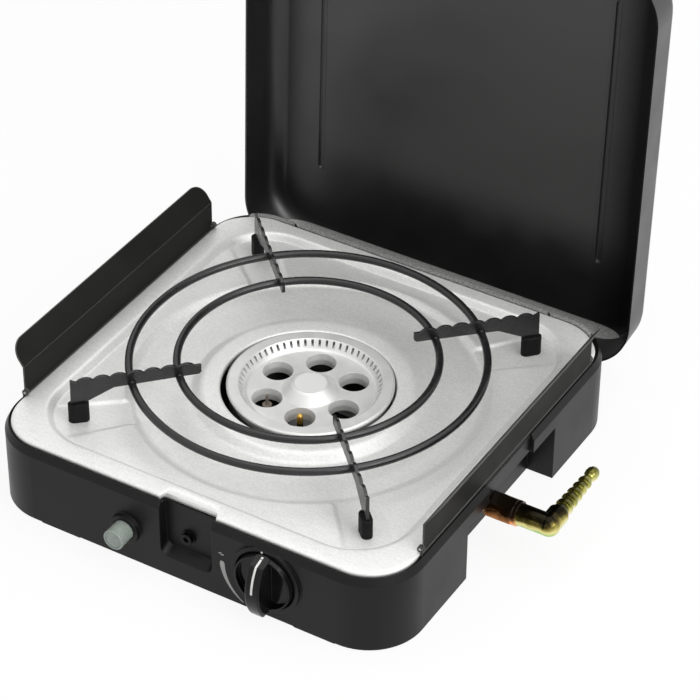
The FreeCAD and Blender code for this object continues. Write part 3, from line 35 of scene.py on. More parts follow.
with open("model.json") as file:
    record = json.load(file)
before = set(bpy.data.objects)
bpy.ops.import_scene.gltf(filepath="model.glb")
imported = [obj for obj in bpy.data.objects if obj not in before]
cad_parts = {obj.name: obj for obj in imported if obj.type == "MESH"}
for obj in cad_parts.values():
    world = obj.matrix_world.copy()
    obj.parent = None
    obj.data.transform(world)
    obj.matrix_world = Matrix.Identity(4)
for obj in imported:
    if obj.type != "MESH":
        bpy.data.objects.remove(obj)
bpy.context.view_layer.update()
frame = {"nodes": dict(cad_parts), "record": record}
nodes = frame["nodes"]

MM = 0.001
tray_low, tray_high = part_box("steel_tray")
MIDDLE = Vector(((tray_low.x + tray_high.x) / 2, (tray_low.y + tray_high.y) / 2, 0))

# Tray, seen from above: the burner hole and the rings round it
HOLE_RADIUS = 54.5
COLLAR_RADIUS = 66.0
COLLAR_FOOT = 72.5
WELL_FLOOR_RADIUS = 108.0
WELL_RADIUS = 113.0
FIELD_RADIUS = 116.0

# Tray, further out: rounded squares, each given by half its width
FIELD_HALF = 121.0
BORDER_FOOT = 122.7
BORDER_TOP = 126.3
TRAY_HALF = 139.6
STEP_CORNER = 36.0
STEP_CORNER_HALF = 122.5
BORDER_FROM = 128.0
BORDER_CORNER = 40.0
TRAY_CORNER = 31.0

# Tray, heights of its upper face and of its skirt's lower edge, which clears the shields' rails
LIP_LOW = 48.7
COLLAR_Z = 52.6
WELL_Z = 48.5
FIELD_Z = 52.2
BORDER_Z = 56.3
SKIRT_LOW = 52.6
SKIRT_LOW_AT_RAIL = 53.7
SKIRT_EDGE = 1.2
RAIL_X = 136.0
RAIL_FRONT = -105.8
RAIL_BACK = 109.2

# Tray, as a pressed sheet: its thickness, the curve of its bends and how finely it is drawn
TRAY_SHEET = 1.0
WELL_BEND = 2.2
BORDER_BEND = 1.8
BEND_STEPS = 5
TRAY_STEPS = 768

# Tray, the four dimples for the pan support's feet, and a wedge from each one down into the well
FOOT_AT = 101.3
FOOT_FLOOR_Z = 50.4
FOOT_RISE = 1.9
FOOT_FLAT = 9.0
FOOT_EDGE = 2.6
FOOT_REACH = 12.0
WEDGE_END = 104.0
WEDGE_LIFT = 0.2
WEDGE_DROP = 2.5
WEDGE_HALF = 7.0
WEDGE_SPREAD = 8.0
WEDGE_EDGE = 2.4

# Tray, the notch in its front edge and the straight stretch of its rear edge that is set in
NOTCH_X = 2.95
NOTCH_HALF = 18.35
NOTCH_Y = -135.8
NOTCH_OVER = 1.6
NOTCH_EDGE = 1.8
REAR_STEP = 3.0
REAR_STEP_FROM = 112.0
REAR_STEP_LENGTH = 22.0
REAR_STEP_HALF = 129.0

# Rim strip, on the casing's ledge behind the tray
RIM_BACK = 140.6
RIM_CORNER = 33.0
RIM_WIDTH = 3.3
RIM_TOP = 56.1
RIM_LOW = 52.5
RIM_END = 127.0
RIM_STEPS = 127
LID_ARM_X = 95.0
LID_ARM_SLOT = 2.0

# Lid, open: heights and slopes of the painted highlight on its rear bend, and where painted shade darkens the
# right of its panel
LID_BEND_LOW = 19.0
LID_BEND_TOP = 25.5
LID_BEND_UPWARD = 0.3
LID_BEND_FORWARD = -0.35
LID_PANEL_FORWARD = -0.5
LID_SHADE_FROM = 98.0
LID_SHADE_TO = 124.0
LID_GLEAM = 0.8
LID_SHADED_GLEAM = 0.06

# Pan support, with the weld beads on its rings
WIRE = 5.0
RING_Z = 73.5
OUTER_RING = 110.0
INNER_RING = 80.6
WIRE_SIDES = 24
RING_STEPS = 192
ARM_SHEET = 2.0
FIRST_ARM_TURN = 45
BEAD_LENGTH = 1.7
BEAD_HEIGHT = 1.2
BEAD_OFF_ARM = 0.5
BEAD_UP = 1.7

# Burner
BURNER_X = 1.6
BOSS_Z = 54.6
BOSS_RADIUS = 9.9

# Knob, with three points of its grip's arched crest, each as y and z
KNOB_X = 60.0
KNOB_Z = 29.4
KNOB_RADIUS = 19.8
GRIP_END = (-155.0, 46.4)
GRIP_MIDDLE = (-160.7, 29.4)
GRIP_LOW_END = (-155.0, 9.6)
POINTER_WIDTH = 1.4
POINTER_LIFT = 0.02
POINTER_FOOT = 1.5
POINTER_INSET = 0.5
POINTER_STEPS = 16

# Print on the front, with the spark sign's corners as x and z
FRONT_Y = -144.0
RING_FACE_Y = -146.0
PRINT_THICK = 0.1
PRINT_LIFT = 0.05
SCALE_RADIUS = 30.6
SCALE_START = 180
SCALE_SWEEP = 58
SCALE_WIDE = 3.6
SCALE_NARROW = 0.8
SCALE_STEPS = 40
SPARK_CORNERS = [(27.0, 34.6), (29.4, 35.3), (28.2, 33.9), (30.6, 34.4)]
SPARK_WIDTH = 0.8
DOT_X = 58.3
DOT_Z = 50.3
DOT_RADIUS = 0.75

# Camera, with its lens for a film 36 mm wide
CAMERA_AT = (755.0, -1220.6, 1169.9)
CAMERA_TURN = 30.72
CAMERA_TILT = 37.23
CAMERA_ROLL = 0.449
CAMERA_LENS = 151.4
CAMERA_FILM = 36.0

# Studio, in metres and watts: the floor, and each lamp's place, aim, size and power
FLOOR_HALF = 6.0
LAMPS = {
    "overhead_box": ((0.1, 0.2, 1.6), (0, 0, 0), 1.6, 12.0),
    "right_box": ((1.1, -0.3, 0.9), (0.2, 0, 0), 1.0, 12.0),
    "front_box": ((-0.9, -1.6, 1.1), (0, 0, 0.1), 1.0, 1.2),
}

# Studio: half the width of the dark floor below the stove, the white share of the rest, the room's light
UNDER_STOVE = 125.0
FLOOR_WHITE = 0.9
SURROUNDINGS = 0.62

# Most of a noise texture's values lie between these
NOISE_LOW = 0.3
NOISE_HIGH = 0.7

# A colour Mix node has equally named sockets for each kind of data, so its own are found by number
MIX_A = 6
MIX_B = 7
MIX_RESULT = 2


def at(x, y, z):
    """A place in the drawing frame, in millimetres, as a point of the scene."""
    return MIDDLE + Vector((x, y, z)) * MM


def linear(code):
    """An sRGB hex colour as the linear RGBA that Blender wants."""
    parts = [int(code[k:k + 2], 16) / 255 for k in (1, 3, 5)]
    return tuple(c / 12.92 if c <= 0.04045 else ((c + 0.055) / 1.055) ** 2.4 for c in parts) + (1.0,)


def per(size_mm):
    """The texture scale whose features come out this many millimetres apart."""
    return 1.0 / (size_mm * MM)


def add(tree, kind, inputs=None, stops=(), **settings):
    """Adds a node with its settings, and fills or links its sockets. The stops are a colour ramp's, from
    low to high, each as a place and a hex colour."""
    made = tree.nodes.new(kind)
    for name, value in settings.items():
        setattr(made, name, value)
    for k, (position, code) in enumerate(stops):
        if k > 1:
            made.color_ramp.elements.new(position)
        made.color_ramp.elements[k].position = position
        made.color_ramp.elements[k].color = linear(code)
    for socket, value in (inputs or {}).items():
        if isinstance(value, bpy.types.NodeSocket):
            tree.links.new(value, made.inputs[socket])
        else:
            made.inputs[socket].default_value = value
    return made


def start_material(name, **constants):
    """A material with a Principled shader, its constants set, and the object coordinates."""
    material = bpy.data.materials.new(name)
    material.use_nodes = True
    tree = material.node_tree
    tree.nodes.clear()
    shader = add(tree, "ShaderNodeBsdfPrincipled")
    for socket, value in constants.items():
        shader.inputs[socket.replace("_", " ")].default_value = value
    add(tree, "ShaderNodeOutputMaterial", {"Surface": shader.outputs["BSDF"]})
    place = add(tree, "ShaderNodeTexCoord").outputs["Object"]
    return material, tree, shader, place


def clouded(tree, place, patch_mm, detail, dark, light, low=NOISE_LOW, high=NOISE_HIGH):
    """A colour that drifts between two hex colours over patches of the given size."""
    cloud = add(tree, "ShaderNodeTexNoise", {"Vector": place, "Scale": per(patch_mm), "Detail": detail})
    colour = add(tree, "ShaderNodeValToRGB", {"Fac": cloud.outputs["Fac"]},
                 stops=[(low, dark), (high, light)])
    return colour.outputs["Color"]


def clouded_colour(tree, shader, place, patch_mm, detail, dark, light):
    """Gives the shader a colour that drifts between two hex colours."""
    colour = clouded(tree, place, patch_mm, detail, dark, light)
    tree.links.new(colour, shader.inputs["Base Color"])


def varied_roughness(tree, shader, factor, low, high):
    """Roughness that follows a noise between two values."""
    spread = add(tree, "ShaderNodeMapRange", {"Value": factor, "From Min": NOISE_LOW, "From Max": NOISE_HIGH,
                                              "To Min": low, "To Max": high})
    tree.links.new(spread.outputs["Result"], shader.inputs["Roughness"])


def clouded_roughness(tree, shader, place, patch_mm, low, high):
    """Roughness that drifts between two values over patches of the given size."""
    cloud = add(tree, "ShaderNodeTexNoise", {"Vector": place, "Scale": per(patch_mm), "Detail": 2.0})
    varied_roughness(tree, shader, cloud.outputs["Fac"], low, high)


def grained(tree, shader, place, grain_mm, depth_mm, edge_mm):
    """Surface grain, over edges that are rounded by a small radius. Real grain is finer than the picture
    can show, so it is drawn at the sizes given, from half a millimetre up."""
    grain = add(tree, "ShaderNodeTexNoise", {"Vector": place, "Scale": per(grain_mm), "Detail": 3.0})
    edge = add(tree, "ShaderNodeBevel", {"Radius": edge_mm * MM}, samples=4)
    bump = add(tree, "ShaderNodeBump", {"Height": grain.outputs["Fac"], "Distance": depth_mm * MM,
                                        "Strength": 1.0, "Normal": edge.outputs["Normal"]})
    tree.links.new(bump.outputs["Normal"], shader.inputs["Normal"])


def moulded_abs():
    # Injection-moulded ABS with a spark-etched face: satin black, with a soft wide highlight
    material, tree, shader, place = start_material("moulded_abs", IOR=1.52, Specular_IOR_Level=0.19)
    clouded_colour(tree, shader, place, patch_mm=60, detail=2.0, dark="#0d0d0d", light="#121212")
    clouded_roughness(tree, shader, place, patch_mm=35, low=0.34, high=0.42)
    grained(tree, shader, place, grain_mm=0.5, depth_mm=0.014, edge_mm=0.9)
    return material


def highlight_grey_abs():
    # The same ABS, painted grey and coarse-grained as a painted highlight, like the highlight on the lid's
    # bend beside it
    material, tree, shader, place = start_material("highlight_grey_abs", IOR=1.52, Specular_IOR_Level=0.3)
    grainy_highlight = clouded(tree, place, patch_mm=1.2, detail=4.0, dark="#6b6b6a", light="#989896",
                     low=0.35, high=0.65)
    tree.links.new(grainy_highlight, shader.inputs["Base Color"])
    clouded_roughness(tree, shader, place, patch_mm=10, low=0.5, high=0.65)
    grained(tree, shader, place, grain_mm=1.0, depth_mm=0.05, edge_mm=0.8)
    return material


def satin_stainless():
    # Cold-rolled stainless sheet, pressed: pale grey metal with a soft, slightly streaked shine. Its
    # streaks and specks are drawn coarser than the roller leaves them, so that they show
    material, tree, shader, place = start_material("satin_stainless", Metallic=0.34)
    drawn_out = add(tree, "ShaderNodeMapping", {"Vector": place, "Scale": (1.0, 14.0, 1.0)})
    streaks = add(tree, "ShaderNodeTexNoise", {"Vector": drawn_out.outputs["Vector"], "Scale": per(9),
                                               "Detail": 4.0})
    broad = add(tree, "ShaderNodeValToRGB", {"Fac": streaks.outputs["Fac"]},
                stops=[(0.25, "#dfdfdd"), (0.75, "#ebebe9")])
    specks = clouded(tree, place, patch_mm=1.3, detail=3.0, dark="#efefef", light="#ffffff")
    colour = add(tree, "ShaderNodeMix", {"Factor": 1.0, MIX_A: broad.outputs["Color"], MIX_B: specks},
                 data_type="RGBA", blend_type="MULTIPLY")
    tree.links.new(colour.outputs[MIX_RESULT], shader.inputs["Base Color"])
    varied_roughness(tree, shader, streaks.outputs["Fac"], low=0.38, high=0.46)
    grained(tree, shader, place, grain_mm=1.0, depth_mm=0.004, edge_mm=0.5)
    return material


def cast_aluminium():
    # Die-cast aluminium, bead-blasted: light grey, even and softly bright, with a fine sandy grain
    material, tree, shader, place = start_material("cast_aluminium", Metallic=0.5)
    clouded_colour(tree, shader, place, patch_mm=12, detail=3.0, dark="#d0d0ce", light="#dadad8")
    clouded_roughness(tree, shader, place, patch_mm=8, low=0.4, high=0.5)
    grained(tree, shader, place, grain_mm=0.5, depth_mm=0.012, edge_mm=0.5)
    return material


def shade_dark_cast():
    # Cast aluminium below the flame, painted near black for the shade seen through the gaps and ports round
    # the burner: matt, with hardly any metal showing
    material, tree, shader, place = start_material("shade_dark_cast", Metallic=0.3)
    clouded_colour(tree, shader, place, patch_mm=8, detail=3.0, dark="#121211", light="#1c1c1b")
    clouded_roughness(tree, shader, place, patch_mm=6, low=0.6, high=0.75)
    grained(tree, shader, place, grain_mm=0.6, depth_mm=0.02, edge_mm=0.5)
    return material


def turned_aluminium():
    # Face-turned aluminium: rings from the lathe tool, brighter than the cast skin round it. They are
    # drawn further apart than the tool leaves them, so that they show
    material, tree, shader, place = start_material("turned_aluminium", Metallic=0.4)
    middle = tuple(-c for c in at(BURNER_X, 0, 0))
    centred = add(tree, "ShaderNodeMapping", {"Vector": place, "Location": middle})
    rings = add(tree, "ShaderNodeTexWave", {"Vector": centred.outputs["Vector"], "Scale": per(3.2),
                                            "Distortion": 0.4, "Detail": 2.0},
                wave_type="RINGS", rings_direction="Z")
    colour = add(tree, "ShaderNodeValToRGB", {"Fac": rings.outputs["Fac"]},
                 stops=[(0.2, "#dadad9"), (0.8, "#e6e6e5")])
    tree.links.new(colour.outputs["Color"], shader.inputs["Base Color"])
    clouded_roughness(tree, shader, place, patch_mm=3, low=0.42, high=0.52)
    return material


def black_enamel():
    # Vitreous enamel on steel wire and plate: near black with a rounded satin gleam
    material, tree, shader, place = start_material("black_enamel", IOR=1.5, Specular_IOR_Level=0.5)
    clouded_colour(tree, shader, place, patch_mm=15, detail=3.0, dark="#111112", light="#181819")
    clouded_roughness(tree, shader, place, patch_mm=6, low=0.22, high=0.34)
    grained(tree, shader, place, grain_mm=0.8, depth_mm=0.03, edge_mm=0.7)
    return material


def powder_coat():
    # Powder coat on the lid: black with a fine orange peel. A painted highlight, grey and grained, lies in
    # the bend at its hinged side, and painted shade, a lower specular level, darkens the right of its inner
    # panel
    material, tree, shader, place = start_material("powder_coat", IOR=1.5)
    black = clouded(tree, place, patch_mm=50, detail=2.0, dark="#131313", light="#171717")
    bend_highlight = clouded(tree, place, patch_mm=0.9, detail=4.0, dark="#7a7a78", light="#9e9e9c",
                    low=0.35, high=0.65)
    spot = add(tree, "ShaderNodeSeparateXYZ", {"Vector": place})
    turned = add(tree, "ShaderNodeTexCoord").outputs["Normal"]
    facing = add(tree, "ShaderNodeSeparateXYZ", {"Vector": turned})
    bend = inside_lid_bend(tree, spot, facing)
    colour = add(tree, "ShaderNodeMix", {"Factor": bend, MIX_A: black, MIX_B: bend_highlight}, data_type="RGBA")
    tree.links.new(colour.outputs[MIX_RESULT], shader.inputs["Base Color"])
    tree.links.new(lid_gleam(tree, spot, facing), shader.inputs["Specular IOR Level"])
    clouded_roughness(tree, shader, place, patch_mm=25, low=0.34, high=0.42)
    grained(tree, shader, place, grain_mm=0.7, depth_mm=0.028, edge_mm=0.8)
    return material


def inside_lid_bend(tree, spot, facing):
    """One on the faces of the lid's rear bend that look up and forwards, where a highlight is painted, and
    zero elsewhere.
    """
    upward = add(tree, "ShaderNodeMath", {0: facing.outputs["Z"], 1: LID_BEND_UPWARD},
                 operation="GREATER_THAN")
    forward = add(tree, "ShaderNodeMath", {0: facing.outputs["Y"], 1: LID_BEND_FORWARD},
                  operation="LESS_THAN")
    band_middle = (LID_BEND_LOW + LID_BEND_TOP) / 2 * MM
    band_half = (LID_BEND_TOP - LID_BEND_LOW) / 2 * MM
    band = add(tree, "ShaderNodeMath", {0: spot.outputs["Z"], 1: band_middle, 2: band_half},
               operation="COMPARE")
    both = add(tree, "ShaderNodeMath", {0: upward.outputs["Value"], 1: band.outputs["Value"]},
               operation="MULTIPLY")
    inside = add(tree, "ShaderNodeMath", {0: both.outputs["Value"], 1: forward.outputs["Value"]},
                 operation="MULTIPLY")
    return inside.outputs["Value"]


def lid_gleam(tree, spot, facing):
    """The lid's specular level, which falls away on the right of the open lid's panel to paint shade there.
    """
    share = add(tree, "ShaderNodeMapRange", {"Value": spot.outputs["X"],
                                             "From Min": at(LID_SHADE_FROM, 0, 0).x,
                                             "From Max": at(LID_SHADE_TO, 0, 0).x})
    panel = add(tree, "ShaderNodeMath", {0: facing.outputs["Y"], 1: LID_PANEL_FORWARD},
                operation="LESS_THAN")
    shaded_share = add(tree, "ShaderNodeMath", {0: share.outputs["Result"], 1: panel.outputs["Value"]},
               operation="MULTIPLY")
    gleam = add(tree, "ShaderNodeMapRange", {"Value": shaded_share.outputs["Value"], "To Min": LID_GLEAM,
                                             "To Max": LID_SHADED_GLEAM})
    return gleam.outputs["Result"]


def matt_black_paint():
    # Stoved matt paint on the wind shields: black and even, with a grey painted highlight along its folds and
    # edges
    material, tree, shader, place = start_material("matt_black_paint", IOR=1.5, Specular_IOR_Level=0.04)
    black = clouded(tree, place, patch_mm=40, detail=2.0, dark="#1e1e1d", light="#242423")
    rounded = add(tree, "ShaderNodeBevel", {"Radius": 0.7 * MM}, samples=8)
    flat = add(tree, "ShaderNodeNewGeometry").outputs["Normal"]
    alike = add(tree, "ShaderNodeVectorMath", {0: rounded.outputs["Normal"], 1: flat},
                operation="DOT_PRODUCT")
    fold_highlight = add(tree, "ShaderNodeMapRange", {"Value": alike.outputs["Value"], "From Min": 0.999,
                                            "From Max": 0.98})
    colour = add(tree, "ShaderNodeMix", {"Factor": fold_highlight.outputs["Result"], MIX_A: black,
                                         MIX_B: linear("#666664")}, data_type="RGBA")
    tree.links.new(colour.outputs[MIX_RESULT], shader.inputs["Base Color"])
    clouded_roughness(tree, shader, place, patch_mm=20, low=0.4, high=0.5)
    grained(tree, shader, place, grain_mm=0.7, depth_mm=0.016, edge_mm=1.0)
    return material


def black_oxide():
    # Blackened steel screw: dark metal that keeps a dull gleam on its edges
    material, tree, shader, place = start_material("black_oxide", Metallic=1.0)
    clouded_colour(tree, shader, place, patch_mm=2, detail=3.0, dark="#1d1d1e", light="#2c2c2d")
    clouded_roughness(tree, shader, place, patch_mm=2, low=0.3, high=0.42)
    grained(tree, shader, place, grain_mm=0.5, depth_mm=0.006, edge_mm=0.4)
    return material


def gloss_abs():
    # Polished ABS knob: deep black with a tight highlight
    material, tree, shader, place = start_material("gloss_abs", IOR=1.53, Specular_IOR_Level=0.17)
    clouded_colour(tree, shader, place, patch_mm=10, detail=2.0, dark="#0c0c0d", light="#111112")
    clouded_roughness(tree, shader, place, patch_mm=5, low=0.1, high=0.16)
    grained(tree, shader, place, grain_mm=2.5, depth_mm=0.004, edge_mm=0.9)
    return material


def nitrile_rubber():
    # Moulded rubber: flat, dusty black with no clear highlight
    material, tree, shader, place = start_material("nitrile_rubber", IOR=1.5, Specular_IOR_Level=0.15)
    clouded_colour(tree, shader, place, patch_mm=3, detail=4.0, dark="#0c0c0c", light="#121213")
    clouded_roughness(tree, shader, place, patch_mm=4, low=0.6, high=0.75)
    grained(tree, shader, place, grain_mm=0.7, depth_mm=0.02, edge_mm=0.5)
    return material


def zinc_plate():
    # Bright zinc plating on steel pressings and screws: cool grey metal, faintly mottled
    material, tree, shader, place = start_material("zinc_plate", Metallic=1.0)
    clouded_colour(tree, shader, place, patch_mm=4, detail=4.0, dark="#a2a6aa", light="#b9bcbf")
    clouded_roughness(tree, shader, place, patch_mm=3, low=0.28, high=0.42)
    grained(tree, shader, place, grain_mm=0.8, depth_mm=0.006, edge_mm=0.3)
    return material


def yellow_passivate(name, metallic, low_z, high_z, colours):
    # Zinc plate with a thin chromate film: rose, green and straw tints that drift with the film. They run
    # from the lower height to the upper one, bright below as a painted reflection of the floor and near black
    # above as painted shade
    material, tree, shader, place = start_material(name, Metallic=metallic)
    spot = add(tree, "ShaderNodeSeparateXYZ", {"Vector": place})
    painted_light_height = add(tree, "ShaderNodeMapRange", {"Value": spot.outputs["Z"], "From Min": low_z * MM,
                                             "From Max": high_z * MM})
    drift = add(tree, "ShaderNodeTexNoise", {"Vector": place, "Scale": per(9), "Detail": 2.0,
                                             "Distortion": 0.5})
    wander = add(tree, "ShaderNodeMath", {0: drift.outputs["Fac"], 1: 0.7, 2: -0.35},
                 operation="MULTIPLY_ADD")
    tint_place = add(tree, "ShaderNodeMath", {0: painted_light_height.outputs["Result"], 1: wander.outputs["Value"]},
               operation="ADD")
    stops = [(k / (len(colours) - 1), code) for k, code in enumerate(colours)]
    tint = add(tree, "ShaderNodeValToRGB", {"Fac": tint_place.outputs["Value"]}, stops)
    tree.links.new(tint.outputs["Color"], shader.inputs["Base Color"])
    clouded_roughness(tree, shader, place, patch_mm=4, low=0.12, high=0.19)
    grained(tree, shader, place, grain_mm=0.9, depth_mm=0.005, edge_mm=0.4)
    return material


def machined_brass():
    # Free-cutting brass, turned: warm yellow with a clear shine
    material, tree, shader, place = start_material("machined_brass", Metallic=1.0)
    clouded_colour(tree, shader, place, patch_mm=5, detail=3.0, dark="#c39a4b", light="#d8b365")
    clouded_roughness(tree, shader, place, patch_mm=3, low=0.22, high=0.34)
    grained(tree, shader, place, grain_mm=0.6, depth_mm=0.004, edge_mm=0.3)
    return material


def drawn_copper():
    # Drawn copper capillary: reddish metal, lightly dulled
    material, tree, shader, place = start_material("drawn_copper", Metallic=1.0)
    clouded_colour(tree, shader, place, patch_mm=6, detail=3.0, dark="#a8694a", light="#c98a66")
    clouded_roughness(tree, shader, place, patch_mm=4, low=0.3, high=0.42)
    return material


def glazed_ceramic():
    # Brown-glazed steatite: warm grey-brown with a glassy skin
    material, tree, shader, place = start_material("glazed_ceramic", IOR=1.6, Coat_Weight=0.4)
    clouded_colour(tree, shader, place, patch_mm=5, detail=3.0, dark="#6a6158", light="#7c7268")
    clouded_roughness(tree, shader, place, patch_mm=3, low=0.15, high=0.25)
    return material


def silicone_sleeve():
    # Silicone sleeve on the spark lead: milky white and slightly soft
    material, tree, shader, place = start_material("silicone_sleeve", IOR=1.42)
    clouded_colour(tree, shader, place, patch_mm=6, detail=3.0, dark="#cfcbc1", light="#dedbd3")
    clouded_roughness(tree, shader, place, patch_mm=3, low=0.4, high=0.55)
    return material


def smoky_acrylic():
    # Translucent grey acrylic: light sinks a little way in before it comes back
    material, tree, shader, place = start_material("smoky_acrylic", IOR=1.49, Transmission_Weight=0.2)
    clouded_colour(tree, shader, place, patch_mm=7, detail=2.0, dark="#8b948d", light="#9aa39b")
    clouded_roughness(tree, shader, place, patch_mm=3, low=0.22, high=0.32)
    grained(tree, shader, place, grain_mm=1.5, depth_mm=0.004, edge_mm=0.4)
    return material


def printed_ink(name, dark, light):
    # Pad-printed ink on the plastic: flat and pale, a little thin in places
    material, tree, shader, place = start_material(name, IOR=1.5)
    clouded_colour(tree, shader, place, patch_mm=1.2, detail=4.0, dark=dark, light=light)
    clouded_roughness(tree, shader, place, patch_mm=2, low=0.45, high=0.6)
    return material


# One finish of each kind. They are kept by these names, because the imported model's own materials share some
materials = {
    "moulded_abs": moulded_abs(),
    "highlight_grey_abs": highlight_grey_abs(),
    "satin_stainless": satin_stainless(),
    "cast_aluminium": cast_aluminium(),
    "shade_dark_cast": shade_dark_cast(),
    "turned_aluminium": turned_aluminium(),
    "black_enamel": black_enamel(),
    "powder_coat": powder_coat(),
    "matt_black_paint": matt_black_paint(),
    "black_oxide": black_oxide(),
    "gloss_abs": gloss_abs(),
    "nitrile_rubber": nitrile_rubber(),
    "zinc_plate": zinc_plate(),
    # Each list runs from a painted reflection of the bright floor below to painted shade on top
    "passivated_nut": yellow_passivate(
        "passivated_nut", metallic=0.45, low_z=25, high_z=39,
        colours=["#ffbe92", "#ffb074", "#2c1a0a", "#140c04"]),
    "passivated_elbow": yellow_passivate(
        "passivated_elbow", metallic=0.9, low_z=26.5, high_z=38.5,
        colours=["#e4bca8", "#9ccc70", "#ece09a", "#a0944a", "#3c3418", "#161208"]),
    "passivated_nozzle": yellow_passivate(
        "passivated_nozzle", metallic=0.85, low_z=26, high_z=38.5,
        colours=["#ecb4a8", "#f6eec0", "#c4c274", "#6e6b30", "#24220e"]),
    "machined_brass": machined_brass(),
    "drawn_copper": drawn_copper(),
    "glazed_ceramic": glazed_ceramic(),
    "silicone_sleeve": silicone_sleeve(),
    "smoky_acrylic": smoky_acrylic(),
    "white_ink": printed_ink("white_ink", "#c9c9c6", "#dededb"),
    "grey_ink": printed_ink("grey_ink", "#8d8d8c", "#a3a3a1"),
}

# Which finish each of the record's material slots gets
SLOT_FINISH = {
    "casing_black": "moulded_abs",
    "stainless_sheet": "satin_stainless",
    "zinc_steel": "zinc_plate",
    "black_rubber": "nitrile_rubber",
    "cast_aluminium": "cast_aluminium",
    "brass": "machined_brass",
    "passivated_steel": "passivated_elbow",
    "steel_rod": "zinc_plate",
    "copper_line": "drawn_copper",
    "ceramic": "glazed_ceramic",
    "lead_sleeve": "silicone_sleeve",
    "knob_black": "gloss_abs",
    "grey_button": "smoky_acrylic",
    "igniter_plastic": "moulded_abs",
    "aluminium_pipe": "cast_aluminium",
    "black_enamel": "black_enamel",
    "cap_rubber": "nitrile_rubber",
    "black_paint": "powder_coat",
    "bright_steel": "powder_coat",
}

# Nodes whose finish differs from the rest of their slot
NODE_FINISH = {
    "union_nut": "passivated_nut",
    "hose_nozzle": "passivated_nozzle",
    "wind_shield_left": "matt_black_paint",
    "wind_shield_right": "matt_black_paint",
    "shield_rail_left": "matt_black_paint",
    "shield_rail_right": "matt_black_paint",
    # The burner's body, bridge and bridge screws are darkened to paint the shade in the gaps, ports and holes
    # round the burner
    "burner_body": "shade_dark_cast",
    "burner_bridge": "black_oxide",
    "bridge_screws": "black_oxide",
    "thermocouple": "machined_brass",
    "catch_screw": "black_oxide",
    "catch_washer": "black_oxide",
}


def dress_cad_nodes():
    """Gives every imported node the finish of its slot, or its own."""
    for part in frame["record"]["subparts"]:
        finish = NODE_FINISH.get(part["node"], SLOT_FINISH[part["material_slot"]])
        mesh = nodes[part["node"]].data
        mesh.materials.clear()
        mesh.materials.append(materials[finish])


def finish_piece(shape, name, body, material, replaced=(), smooth=True):
    """Turns a bmesh into a dressed object that rides on a body."""
    bmesh.ops.remove_doubles(shape, verts=shape.verts, dist=0.001 * MM)
    bmesh.ops.recalc_face_normals(shape, faces=shape.faces)
    mesh = bpy.data.meshes.new(name)
    shape.to_mesh(mesh)
    shape.free()
    for face in mesh.polygons:
        face.use_smooth = smooth
    mesh.materials.append(materials[material])
    piece = bpy.data.objects.new(name, mesh)
    bpy.context.scene.collection.objects.link(piece)
    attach(piece, body)
    if replaced:
        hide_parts(*replaced)
    return piece


def wire_ring(radius):
    """A ring of round wire: a small circle spun about the stove's upright axis."""
    shape = bmesh.new()
    turn = Matrix.Translation(at(radius, 0, RING_Z)) @ Matrix.Rotation(math.pi / 2, 4, "X")
    made = bmesh.ops.create_circle(shape, segments=WIRE_SIDES, radius=WIRE / 2 * MM, matrix=turn)
    bmesh.ops.spin(shape, geom=made["verts"] + shape.edges[:], cent=at(0, 0, RING_Z), axis=(0, 0, 1),
                   angle=2 * math.pi, steps=RING_STEPS, use_merge=True)
    return shape


def weld_beads():
    """Small beads of weld on both sides of each arm, on top of the two rings that it crosses."""
    shape = bmesh.new()
    stretch = Matrix.Diagonal((BEAD_LENGTH, BEAD_LENGTH, BEAD_HEIGHT, 1.0))
    for k in range(4):
        turn = math.radians(FIRST_ARM_TURN + 90 * k)
        out = Vector((math.cos(turn), math.sin(turn), 0))
        aside = Vector((-math.sin(turn), math.cos(turn), 0)) * (ARM_SHEET / 2 + BEAD_OFF_ARM)
        for radius in (INNER_RING, OUTER_RING):
            for side in (-1, 1):
                flat = out * radius + aside * side
                place = Matrix.Translation(at(flat.x, flat.y, RING_Z + BEAD_UP))
                bmesh.ops.create_uvsphere(shape, u_segments=16, v_segments=10, radius=MM,
                                          matrix=place @ stretch)
    return shape


def ribbon(points, across, widths):
    """A thin printed strip through points of the drawing frame, with its own width at each."""
    shape = bmesh.new()
    last = len(points) - 1
    bmesh.ops.create_grid(shape, x_segments=last, y_segments=1, size=0.5)
    for vertex in shape.verts:
        k = round((vertex.co.x + 0.5) * last)
        vertex.co = at(*points[k]) + across[k] * (vertex.co.y * widths[k] * MM)
    shape.normal_update()
    bmesh.ops.solidify(shape, geom=shape.faces[:], thickness=PRINT_THICK * MM)
    return shape


def circle_through(a, b, c):
    """The middle and radius of the circle through three points of a plane."""
    d = 2 * (a[0] * (b[1] - c[1]) + b[0] * (c[1] - a[1]) + c[0] * (a[1] - b[1]))
    aa, bb, cc = (p[0] ** 2 + p[1] ** 2 for p in (a, b, c))
    x = (aa * (b[1] - c[1]) + bb * (c[1] - a[1]) + cc * (a[1] - b[1])) / d
    y = (aa * (c[0] - b[0]) + bb * (a[0] - c[0]) + cc * (b[0] - a[0])) / d
    return (x, y), math.hypot(a[0] - x, a[1] - y)


def knob_pointer():
    """The white line that runs over the knob's slanted end and down to the middle of its arched crest."""
    (middle_y, middle_z), radius = circle_through(GRIP_END, GRIP_MIDDLE, GRIP_LOW_END)
    start = math.atan2(GRIP_END[1] - middle_z, GRIP_END[0] - middle_y)
    end = math.atan2(GRIP_MIDDLE[1] - middle_z, GRIP_MIDDLE[0] - middle_y) % (2 * math.pi)
    reach = radius + POINTER_LIFT
    points = [(KNOB_X, RING_FACE_Y - POINTER_FOOT, KNOB_Z + KNOB_RADIUS - POINTER_INSET)]
    for k in range(POINTER_STEPS + 1):
        turn = start + (end - start) * k / POINTER_STEPS
        points.append((KNOB_X, middle_y + reach * math.cos(turn), middle_z + reach * math.sin(turn)))
    return ribbon(points, [Vector((1, 0, 0))] * len(points), [POINTER_WIDTH] * len(points))


